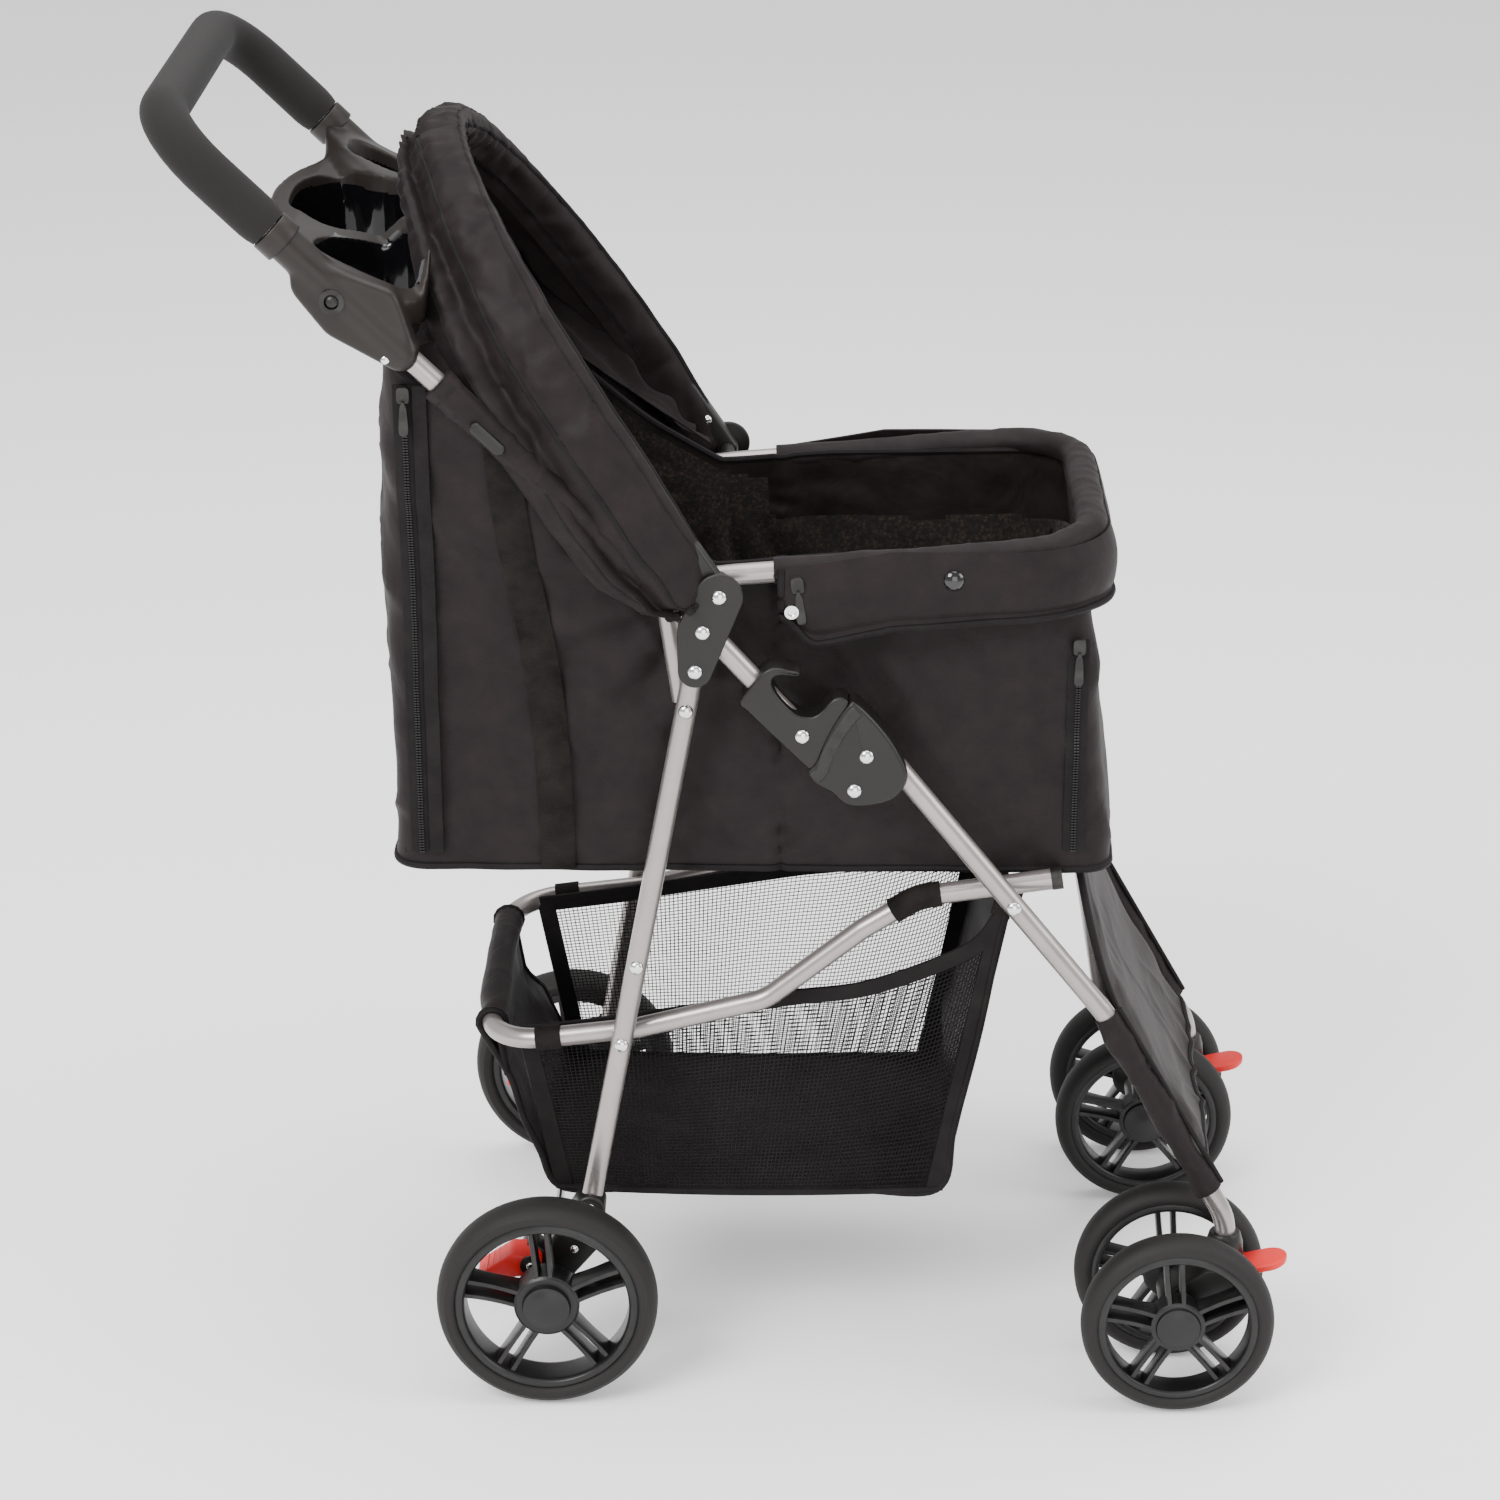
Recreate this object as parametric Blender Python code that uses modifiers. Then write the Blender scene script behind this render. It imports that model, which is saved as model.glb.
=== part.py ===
"""A folding four-wheeled pet stroller, opened for use.

The stroller stands on the ground at Z = 0, faces +X and is the same on both sides of the XZ plane.
Each side of the frame is a flat linkage: the tubes lie side by side in three upright planes, so that
they can swing past each other as the stroller folds.
"""

import math

import bmesh
import bpy
from mathutils import Vector

# Driving dimensions, in metres. Places along X are measured from the rear axle.
REAR_AXLE_X = -0.150
REAR_WHEEL_RADIUS = 0.085
REAR_WHEEL_WIDTH = 0.034
REAR_WHEEL_GAP = 0.005
FRONT_WHEEL_RADIUS = 0.074
FRONT_WHEEL_WIDTH = 0.028
FRONT_WHEEL_GAP = 0.0035
WHEELBASE = 0.483
CASTER_TRAIL = 0.038
TYRE_DEPTH = 0.020
AXLE_RADIUS = 0.004
TUBE_RADIUS = 0.008
LAYER_GAP = 0.0025
FRONT_PLANE = 0.174
FIT_GAP = 0.0005
PLATE_THICKNESS = 0.004
RIVET_RADIUS = 0.0028
RIVET_HEAD_RADIUS = 0.0055
RIVET_HEAD_HEIGHT = 0.0025
HUB = (0.121, 0.623)
HUB_TOP_RIVET = (0.012, 0.027)
LEG_FOOT = (0.027, 0.033)
KNEE_REACH = 0.166
KNEE_ANGLE = math.radians(-48.0)
KNEE_OFFSET = 0.0335
FRONT_LEG_ANGLE = math.radians(-51.4)
FRONT_LEG_LENGTH = 0.262
SOCKET_HEIGHT = 0.020
RAIL_PIVOT_ALONG_LEG = 0.150
RAIL_PIVOT_HEIGHT = 0.280
HANDLE_ANGLE = math.radians(135.8)
TRAY_START = 0.302
TRAY_LENGTH = 0.118
TRAY_DEPTH = 0.064
HANDLE_REACH = 0.530
HANDLE_CORNER_RADIUS = 0.052
GRIP_RADIUS = 0.0165
HOOP_LENGTH = 0.362
HOOP_ANGLE = math.radians(124.0)
HOOP_RADIUS = 0.006
HOOP_ARCH_START = 0.075
CANOPY_FOLD_THICKNESS = 0.018
CANOPY_WALL = 0.006
CABIN_WALL = 0.003
CABIN_REAR = -0.113
CABIN_FRONT = 0.428
CABIN_FLOOR_HEIGHT = 0.412
CABIN_REAR_HEIGHT = 0.822
RIM_FRONT = 0.408
RIM_CORNER_RADIUS = 0.062
RIM_RISE = 0.022
BOARD_THICKNESS = 0.004
MAT_THICKNESS = 0.014
FLAP_DROP = 0.062
FLAP_THICKNESS = 0.003
BASKET_WALL = 0.0025
BASKET_FLOOR_HEIGHT = 0.135
BASKET_FLOOR_REAR = 0.006
BASKET_FLOOR_FRONT = 0.302
RAIL_REAR = -0.046
RAIL_CORNER_RADIUS = 0.045
PANEL_THICKNESS = 0.0025

# Places that follow from the driving dimensions.
LAYER_PITCH = 2 * TUBE_RADIUS + LAYER_GAP
REAR_PLANE = FRONT_PLANE - LAYER_PITCH
RAIL_PLANE = REAR_PLANE - LAYER_PITCH
CABIN_HALF_WIDTH = RAIL_PLANE - TUBE_RADIUS - LAYER_GAP
BASKET_HALF_WIDTH = RAIL_PLANE - TUBE_RADIUS - 2 * LAYER_GAP
HINGE_HALF_WIDTH = 0.013
PLATE_INNER = FRONT_PLANE + TUBE_RADIUS + 0.0015
BRACKET_OUTER = FRONT_PLANE + 0.011
REAR_WHEEL_PLANE = BRACKET_OUTER + REAR_WHEEL_GAP + REAR_WHEEL_WIDTH / 2
FORK_HALF_WIDTH = 0.025
CASTER_HALF_TRACK = FORK_HALF_WIDTH + FRONT_WHEEL_GAP + FRONT_WHEEL_WIDTH / 2
WHEEL_STEPS = 24
SIDES = (("right", -1), ("left", 1))

COLLECTION = bpy.data.collections.new("pet_stroller")
CUTTERS = bpy.data.collections.new("cutters")


def clear_scene():
    for old in list(bpy.data.objects):
        bpy.data.objects.remove(old)
    for collection in (COLLECTION, CUTTERS):
        bpy.context.scene.collection.children.link(collection)


def material(name, colour, roughness, metallic=0.0):
    made = bpy.data.materials.new(name)
    made.use_nodes = True
    shader = made.node_tree.nodes["Principled BSDF"]
    shader.inputs["Base Color"].default_value = (*colour, 1.0)
    shader.inputs["Roughness"].default_value = roughness
    shader.inputs["Metallic"].default_value = metallic
    return made


SILVER = material("silver_paint", (0.56, 0.54, 0.52), 0.35, 0.8)
STEEL = material("zinc_steel", (0.66, 0.66, 0.66), 0.28, 1.0)
PLASTIC = material("black_plastic", (0.030, 0.028, 0.027), 0.5)
FOAM = material("grip_foam", (0.028, 0.026, 0.025), 0.9)
RUBBER = material("wheel_rubber", (0.033, 0.031, 0.030), 0.7)
RED = material("red_plastic", (0.72, 0.03, 0.03), 0.4)
FABRIC = material("black_fabric", (0.022, 0.021, 0.022), 0.85)
FLEECE = material("grey_fleece", (0.060, 0.052, 0.045), 0.95)


def polar(length, angle):
    return Vector((length * math.cos(angle), length * math.sin(angle)))


def add_object(name, data, look):
    made = bpy.data.objects.new(name, data)
    if look is not None:
        data.materials.append(look)
    COLLECTION.objects.link(made)
    return made


def as_mesh(source):
    """The same object with its evaluated shape as a welded mesh."""
    bpy.context.view_layer.update()
    graph = bpy.context.evaluated_depsgraph_get()
    mesh = bpy.data.meshes.new_from_object(source.evaluated_get(graph))
    mesh.transform(source.matrix_world)
    shape = bmesh.new()
    shape.from_mesh(mesh)
    bmesh.ops.remove_doubles(shape, verts=shape.verts, dist=0.00001)
    bmesh.ops.recalc_face_normals(shape, faces=shape.faces)
    shape.to_mesh(mesh)
    shape.free()
    name = source.name
    bpy.data.objects.remove(source)
    made = bpy.data.objects.new(name, mesh)
    COLLECTION.objects.link(made)
    return made


def combine(target, other, operation):
    """Cuts other from target, or joins it on, and removes other."""
    step = target.modifiers.new(operation.lower(), "BOOLEAN")
    step.operation = operation
    step.solver = "EXACT"
    step.object = other
    result = as_mesh(target)
    bpy.data.objects.remove(other)
    return result


def prism(name, outline, y_low, y_high, look=None, holes=()):
    """A flat outline in the XZ plane, extruded along Y from y_low to y_high."""
    curve = bpy.data.curves.new(name, "CURVE")
    curve.dimensions = "2D"
    curve.fill_mode = "BOTH"
    curve.extrude = (y_high - y_low) / 2
    for points in (outline, *holes):
        spline = curve.splines.new("POLY")
        spline.points.add(len(points) - 1)
        spline.use_cyclic_u = True
        for point, (x, z) in zip(spline.points, points):
            point.co = (x, z, 0.0, 1.0)
    made = add_object(name, curve, look)
    made.location = (0.0, (y_low + y_high) / 2, 0.0)
    made.rotation_euler = (math.pi / 2, 0.0, 0.0)
    return as_mesh(made)


def slab(name, outline, z_low, z_high, look=None, holes=()):
    """A flat outline in the XY plane, extruded along Z from z_low to z_high."""
    made = prism(name, outline, -z_high, -z_low, look, holes)
    made.rotation_euler = (-math.pi / 2, 0.0, 0.0)
    return as_mesh(made)


def cylinder(name, centre, radius, length, axis="Y", sides=16, look=None):
    """A cylinder whose middle is at centre, along X, Y or Z."""
    mesh = bpy.data.meshes.new(name)
    shape = bmesh.new()
    bmesh.ops.create_cone(shape, cap_ends=True, segments=sides, radius1=radius,
                          radius2=radius, depth=length)
    shape.to_mesh(mesh)
    shape.free()
    made = add_object(name, mesh, look)
    made.location = centre
    turns = {"X": (0, math.pi / 2, 0), "Y": (math.pi / 2, 0, 0), "Z": (0, 0, 0)}
    made.rotation_euler = turns[axis]
    return as_mesh(made)


def box(name, low, high, look=None):
    mesh = bpy.data.meshes.new(name)
    shape = bmesh.new()
    bmesh.ops.create_cube(shape, size=1.0)
    low, high = Vector(low), Vector(high)
    size = high - low
    for vertex in shape.verts:
        vertex.co = (low + high) / 2 + Vector(a * b for a, b in zip(vertex.co, size))
    shape.to_mesh(mesh)
    shape.free()
    return add_object(name, mesh, look)


def rounded_path(corners, radius, steps=5):
    """The points of a path through corners, with each inner corner rounded by an arc."""
    corners = [Vector(corner) for corner in corners]
    path = [corners[0]]
    for before, corner, after in zip(corners, corners[1:], corners[2:]):
        to_before = (before - corner).normalized()
        to_after = (after - corner).normalized()
        half_angle = to_before.angle(to_after) / 2
        reach = radius / math.tan(half_angle)
        reach = min(reach, (before - corner).length * 0.48, (after - corner).length * 0.48)
        centre = corner + (to_before + to_after).normalized() * reach / math.cos(half_angle)
        first = corner + to_before * reach - centre
        last = corner + to_after * reach - centre
        swept = math.pi - 2 * half_angle
        for step in range(steps + 1):
            part = swept * step / steps
            mixed = first * math.sin(swept - part) + last * math.sin(part)
            path.append(centre + mixed / math.sin(swept))
    path.append(corners[-1])
    return path


def tube(name, path, radius, look, resolution=2):
    """A round bar along a path. The bevel's resolution of 2 gives it eight sides."""
    curve = bpy.data.curves.new(name, "CURVE")
    curve.dimensions = "3D"
    curve.bevel_depth = radius
    curve.bevel_resolution = resolution
    curve.use_fill_caps = True
    spline = curve.splines.new("POLY")
    spline.points.add(len(path) - 1)
    for point, place in zip(spline.points, path):
        point.co = (*place, 1.0)
    return add_object(name, curve, look)


def dressed(made, look):
    """Gives a finished mesh its one material and its smooth shading."""
    made.data.materials.clear()
    made.data.materials.append(look)
    made.data.shade_smooth()
    made.data.set_sharp_from_angle(angle=math.radians(35))
    return made


def circle_points(centre, radius, count=16, start=0.0):
    turn = 2 * math.pi / count
    return [Vector(centre) + polar(radius, start + turn * step) for step in range(count)]


def hull(circles, count=16):
    """The outline of a band stretched round some circles, each (centre, radius)."""
    points = [p for centre, radius in circles for p in circle_points(centre, radius, count)]
    points = sorted({(round(p.x, 6), round(p.y, 6)) for p in points})

    def half(ordered):
        chain = []
        for p in ordered:
            while len(chain) > 1:
                (ax, ay), (bx, by) = chain[-2:]
                if (bx - ax) * (p[1] - ay) - (by - ay) * (p[0] - ax) > 0:
                    break
                chain.pop()
            chain.append(p)
        return chain[:-1]

    return half(points) + half(points[::-1])


def on_side(low, high, sign):
    """The two Y limits of a slice from low to high outwards, on the side with that sign."""
    return tuple(sorted((sign * low, sign * high)))


def place(x, z, y):
    """A point in space from a side-view place measured from the rear axle."""
    return Vector((REAR_AXLE_X + x, y, z))


def shifted(outline):
    """A side-view outline moved from the rear axle's frame to the object's frame."""
    return [(REAR_AXLE_X + x, z) for x, z in outline]


# Side-view places of the linkage, measured from the rear axle.
HUB_PIVOT = Vector(HUB)
TOP_RIVET = HUB_PIVOT + Vector(HUB_TOP_RIVET)
FOOT = Vector((LEG_FOOT[0], REAR_WHEEL_RADIUS + LEG_FOOT[1]))
LEG_DIRECTION = (FOOT - HUB_PIVOT).normalized()
LEG_RIVET = HUB_PIVOT + LEG_DIRECTION * 0.031
KNEE = HUB_PIVOT + polar(KNEE_REACH, KNEE_ANGLE)
FRONT_DIRECTION = polar(1.0, FRONT_LEG_ANGLE)
FRONT_NORMAL = Vector((-FRONT_DIRECTION.y, FRONT_DIRECTION.x))
FRONT_TOP = KNEE + FRONT_NORMAL * KNEE_OFFSET - FRONT_DIRECTION * 0.010
FRONT_BEND = KNEE + FRONT_NORMAL * KNEE_OFFSET + FRONT_DIRECTION * FRONT_LEG_LENGTH
STEM_X = WHEELBASE + CASTER_TRAIL
SOCKET_BOTTOM = FRONT_WHEEL_RADIUS + 0.036
RAIL_FRONT_PIVOT = KNEE + FRONT_NORMAL * KNEE_OFFSET + FRONT_DIRECTION * RAIL_PIVOT_ALONG_LEG
RAIL_DROP = (HUB_PIVOT.y - RAIL_PIVOT_HEIGHT) / -LEG_DIRECTION.y
RAIL_REAR_PIVOT = HUB_PIVOT + LEG_DIRECTION * RAIL_DROP
HANDLE_DIRECTION = polar(1.0, HANDLE_ANGLE)
HANDLE_NORMAL = Vector((-HANDLE_DIRECTION.y, HANDLE_DIRECTION.x))
HOOP_DIRECTION = polar(1.0, HOOP_ANGLE)


def drilled(target, centre, radius, sign, axis="Y", length=0.09):
    """target with a round hole through it at a side-view place."""
    hole = cylinder("hole", place(centre.x, centre.y, sign * FRONT_PLANE), radius, length, axis, 12)
    return combine(target, hole, "DIFFERENCE")


def pivot_pin(name, centre, inner, outer, sign, look=STEEL):
    """A rivet through the side planes, with a wide head outside and a small one inside."""
    middle = sign * (inner + outer) / 2
    pin = cylinder(name, place(centre.x, centre.y, middle), RIVET_RADIUS, outer - inner, "Y", 12)
    head_middle = sign * (outer + RIVET_HEAD_HEIGHT / 2)
    head = cylinder("head", place(centre.x, centre.y, head_middle), RIVET_HEAD_RADIUS,
                    RIVET_HEAD_HEIGHT + 0.001, "Y", 12)
    return dressed(combine(pin, head, "UNION"), look)


# Wheels -------------------------------------------------------------------------------------


def turned_ring(name, profile, centre, steps):
    """A ring turned about the Y axis from a closed profile of (radius, offset along Y)."""
    mesh = bpy.data.meshes.new(name)
    shape = bmesh.new()
    points = [shape.verts.new((radius, 0.0, along)) for radius, along in profile]
    for first, second in zip(points, points[1:] + points[:1]):
        shape.edges.new((first, second))
    shape.to_mesh(mesh)
    shape.free()
    made = add_object(name, mesh, None)
    turn = made.modifiers.new("turn", "SCREW")
    turn.axis = "Z"
    turn.steps = turn.render_steps = steps
    turn.use_merge_vertices = True
    turn.merge_threshold = 0.00001
    made.rotation_euler = (math.pi / 2, 0.0, 0.0)
    made.location = centre
    return as_mesh(made)


def tyre(name, centre, radius, width):
    half, inner, shoulder = width / 2, radius - TYRE_DEPTH, radius - 0.006
    profile = [(inner, half * 0.80), (radius - 0.013, half), (shoulder, half * 0.86), (radius, half * 0.36)]
    profile += [(r, -along) for r, along in reversed(profile)]
    return dressed(turned_ring(name, profile, centre, WHEEL_STEPS), RUBBER)


def window_outline(start, end, inner, outer, bar):
    """The gap in a wheel's web between two spoke pairs, at angles start and end."""
    inner_half, outer_half = math.asin(bar / inner), math.asin(bar / outer)
    low, high = start + inner_half, end - inner_half
    points = [polar(inner, low + (high - low) * step / 2) for step in range(3)]
    low, high = start + outer_half, end - outer_half
    points += [polar(outer, high + (low - high) * step / 4) for step in range(5)]
    return points


def wheel_rim(name, centre, radius, width, hub_radius, bore):
    """A moulded wheel: a band under the tyre, five pairs of spokes, and a bored hub."""
    band_outer = radius - TYRE_DEPTH - FIT_GAP
    band_inner = band_outer - 0.009
    half = width / 2
    bar, slot, turn = 0.0068, 0.0026, 2 * math.pi / 5
    starts = [math.pi / 2 + 0.05 + turn * k for k in range(5)]
    holes = [window_outline(a, a + turn, hub_radius, band_inner + 0.0008, bar) for a in starts]
    for angle in starts:
        along, across = polar(1.0, angle), polar(1.0, angle + math.pi / 2)
        near, far = along * (hub_radius + 0.002), along * (band_inner - 0.001)
        holes.append([near - across * slot, far - across * slot, far + across * slot, near + across * slot])
    centre_xz = Vector((centre.x, centre.z))
    holes = [[centre_xz + p for p in hole] for hole in holes]
    outline = circle_points(centre_xz, band_outer - 0.002, WHEEL_STEPS)
    web = prism(name, outline, centre.y - half * 0.55, centre.y + half * 0.55, None, holes)
    profile = [(band_outer, half * 0.78), (band_outer, -half * 0.78)]
    profile += [(band_inner, -half * 0.78), (band_inner, half * 0.78)]
    rim = combine(web, turned_ring("band", profile, centre, WHEEL_STEPS), "UNION")
    hub = cylinder("hub", centre, hub_radius + 0.0012, width * 0.86, "Y", 16)
    rim = combine(rim, hub, "UNION")
    hole = cylinder("bore", centre, bore + FIT_GAP, width * 2, "Y", 12)
    return dressed(combine(rim, hole, "DIFFERENCE"), PLASTIC)


def rear_wheels():
    for label, sign in SIDES:
        centre = place(0.0, REAR_WHEEL_RADIUS, sign * REAR_WHEEL_PLANE)
        tyre(f"rear_tyre_{label}", centre, REAR_WHEEL_RADIUS, REAR_WHEEL_WIDTH)
        wheel_rim(f"rear_rim_{label}", centre, REAR_WHEEL_RADIUS, REAR_WHEEL_WIDTH, 0.020, AXLE_RADIUS)
    reach = REAR_WHEEL_PLANE + REAR_WHEEL_WIDTH / 2 - 0.001
    axle = cylinder("rear_axle", place(0.0, REAR_WHEEL_RADIUS, 0.0), AXLE_RADIUS, 2 * reach, "Y", 12)
    dressed(axle, STEEL)


def front_wheels():
    for label, sign in SIDES:
        for end, offset in (("outer", 1), ("inner", -1)):
            y = sign * (FRONT_PLANE + offset * CASTER_HALF_TRACK)
            centre = place(WHEELBASE, FRONT_WHEEL_RADIUS, y)
            tyre(f"front_tyre_{label}_{end}", centre, FRONT_WHEEL_RADIUS, FRONT_WHEEL_WIDTH)
            wheel_rim(f"front_rim_{label}_{end}", centre, FRONT_WHEEL_RADIUS, FRONT_WHEEL_WIDTH,
                      0.017, AXLE_RADIUS)


# Rear frame ----------------------------------------------------------------------------------


def rear_legs():
    top = HUB_PIVOT + LEG_DIRECTION * 0.018
    for label, sign in SIDES:
        y = sign * REAR_PLANE
        path = [place(top.x, top.y, y), place(FOOT.x, FOOT.y, y)]
        leg = as_mesh(tube(f"rear_leg_{label}", path, TUBE_RADIUS, SILVER))
        leg = drilled(leg, RAIL_REAR_PIVOT, RIVET_RADIUS + FIT_GAP, sign)
        dressed(leg, SILVER)


def top_rail_path():
    """The cabin's rim tube: a tail beside each rear leg, then forward and round the front."""
    tail_low = HUB_PIVOT + LEG_DIRECTION * 0.072 + Vector((-0.003, 0.0))
    tail_high = Vector((HUB_PIVOT.x - 0.030, TOP_RIVET.y - 0.006))
    front_height = TOP_RIVET.y + RIM_RISE
    half = [
        place(tail_low.x, tail_low.y, RAIL_PLANE),
        place(tail_high.x, tail_high.y, RAIL_PLANE),
        place(TOP_RIVET.x + 0.010, TOP_RIVET.y, RAIL_PLANE),
        place(RIM_FRONT, front_height, RAIL_PLANE),
    ]
    mirrored = [Vector((p.x, -p.y, p.z)) for p in reversed(half)]
    rounded = rounded_path(half[:3] + [half[3]] + mirrored[:1] + mirrored[1:], RIM_CORNER_RADIUS, 4)
    return rounded


def top_rail():
    tube("top_rail", top_rail_path(), TUBE_RADIUS, SILVER)


def hub_plates():
    """The outer hinge plate with bosses that reach in to the leg and to the cabin rail."""
    outline = shifted(hull([(TOP_RIVET, 0.018), (HUB_PIVOT, 0.019), (LEG_RIVET, 0.013)]))
    for label, sign in SIDES:
        name = f"hub_plate_{label}"
        plate = prism(name, outline, *on_side(PLATE_INNER, PLATE_INNER + PLATE_THICKNESS, sign))
        for centre, plane, radius in ((TOP_RIVET, RAIL_PLANE, 0.0055), (LEG_RIVET, REAR_PLANE, 0.0055)):
            inner = plane + TUBE_RADIUS + FIT_GAP
            outer = PLATE_INNER + PLATE_THICKNESS / 2
            middle = place(centre.x, centre.y, sign * (inner + outer) / 2)
            boss = cylinder("boss", middle, radius, outer - inner, "Y", 12)
            plate = combine(plate, boss, "UNION")
        plate = drilled(plate, HUB_PIVOT, RIVET_RADIUS + FIT_GAP, sign)
        dressed(plate, PLASTIC)
        inner = FRONT_PLANE - TUBE_RADIUS
        outer = PLATE_INNER + PLATE_THICKNESS + FIT_GAP
        pivot_pin(f"hub_pin_{label}", HUB_PIVOT, inner, outer, sign)


def rear_brackets():
    """The moulded foot of each rear leg, which holds the axle and the brake pedal."""
    brake = Vector((-0.014, REAR_WHEEL_RADIUS + 0.016))
    for label, sign in SIDES:
        name = f"rear_bracket_{label}"
        socket_top = FOOT - LEG_DIRECTION * 0.024
        circles = [(socket_top, 0.0125), (FOOT, 0.0145), (Vector((0.0, REAR_WHEEL_RADIUS)), 0.015)]
        inner, outer = REAR_PLANE - TUBE_RADIUS - 0.0045, REAR_PLANE + TUBE_RADIUS + 0.0045
        bracket = prism(name, shifted(hull(circles)), *on_side(inner, outer, sign))
        arm = hull([(Vector((0.0, REAR_WHEEL_RADIUS)), 0.012), (brake, 0.009)])
        lug = prism("lug", shifted(arm), *on_side(inner + 0.001, outer - 0.001, sign))
        bracket = combine(bracket, lug, "UNION")
        boss_middle = place(0.0, REAR_WHEEL_RADIUS, sign * (outer + BRACKET_OUTER - 0.002) / 2)
        boss = cylinder("boss", boss_middle, 0.009, BRACKET_OUTER - outer + 0.002, "Y", 14)
        bracket = combine(bracket, boss, "UNION")
        pin_middle = place(brake.x, brake.y, sign * (outer + 0.004))
        bracket = combine(bracket, cylinder("pin", pin_middle, 0.003, 0.017, "Y", 12), "UNION")
        y = sign * REAR_PLANE
        bore_top = FOOT - LEG_DIRECTION * 0.060
        bore_end = FOOT + LEG_DIRECTION * FIT_GAP
        bore = as_mesh(tube("bore", [place(*bore_top, y), place(*bore_end, y)], TUBE_RADIUS + FIT_GAP, None, 4))
        bracket = combine(bracket, bore, "DIFFERENCE")
        axle = cylinder("axle", place(0.0, REAR_WHEEL_RADIUS, y), AXLE_RADIUS + FIT_GAP, 0.2, "Y", 12)
        dressed(combine(bracket, axle, "DIFFERENCE"), PLASTIC)
        brake_pedal(f"brake_pedal_{label}", brake, outer + 0.001, BRACKET_OUTER - 0.001, sign)


def brake_pedal(name, pivot, inner, outer, sign):
    """The red pedal behind the wheel: an eye on the bracket's pin and a tread that is pressed down."""
    eye = hull([(pivot, 0.0075), (pivot + Vector((-0.018, 0.006)), 0.007)])
    pedal = prism(name, shifted(eye), *on_side(inner, outer, sign))
    tread = hull([(pivot + Vector((-0.018, 0.007)), 0.006), (pivot + Vector((-0.041, 0.001)), 0.004)])
    reach = outer - 0.030
    pedal = combine(pedal, prism("tread", shifted(tread), *on_side(reach, outer - 0.0005, sign)), "UNION")
    hole = cylinder("hole", place(pivot.x, pivot.y, sign * outer), 0.003 + FIT_GAP, 0.06, "Y", 12)
    dressed(combine(pedal, hole, "DIFFERENCE"), RED)


# Handle frame ---------------------------------------------------------------------------------


def along_handle(distance, lift=0.0):
    """A side-view place on the handle tube, at a distance up from the hub."""
    return HUB_PIVOT + HANDLE_DIRECTION * distance - HANDLE_NORMAL * lift


def handle_tubes():
    """The long side tubes, from the knee joint through the hub up into the tray."""
    for label, sign in SIDES:
        y = sign * FRONT_PLANE
        end = along_handle(TRAY_START + TRAY_LENGTH * 0.45)
        path = [place(*KNEE, y), place(*HUB_PIVOT, y), place(*end, y)]
        path[0] = place(*(KNEE + polar(0.006, KNEE_ANGLE)), y)
        bar = as_mesh(tube(f"handle_tube_{label}", path, TUBE_RADIUS, SILVER))
        bar = drilled(bar, HUB_PIVOT, RIVET_RADIUS + FIT_GAP, sign)
        bar = drilled(bar, KNEE, RIVET_RADIUS + FIT_GAP, sign)
        dressed(bar, SILVER)


def handle_bar_path(lower):
    """The U of the push bar, starting at a distance up from the hub on each side."""
    corners = [(lower, FRONT_PLANE), (HANDLE_REACH, FRONT_PLANE), (HANDLE_REACH, -FRONT_PLANE), (lower, -FRONT_PLANE)]
    corners = [place(*along_handle(distance), y) for distance, y in corners]
    return rounded_path(corners, HANDLE_CORNER_RADIUS, 6)


def push_handle():
    start = TRAY_START + TRAY_LENGTH * 0.55
    tube("handle_bar", handle_bar_path(start), TUBE_RADIUS, SILVER)
    foam_start = TRAY_START + TRAY_LENGTH + 0.001
    foam = as_mesh(tube("foam_grip", handle_bar_path(foam_start), GRIP_RADIUS, FOAM, 3))
    core = as_mesh(tube("core", handle_bar_path(start), TUBE_RADIUS + FIT_GAP, None, 4))
    dressed(combine(foam, core, "DIFFERENCE"), FOAM)


def rounded_rectangle(low, high, radius, steps=4):
    """The outline of a rectangle with round corners."""
    outline = []
    centres = ((high[0] - radius, high[1] - radius), (low[0] + radius, high[1] - radius),
               (low[0] + radius, low[1] + radius), (high[0] - radius, low[1] + radius))
    for quarter, centre in enumerate(centres):
        for step in range(steps + 1):
            angle = math.pi / 2 * (quarter + step / steps)
            outline.append(Vector(centre) + polar(radius, angle))
    return outline


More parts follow.
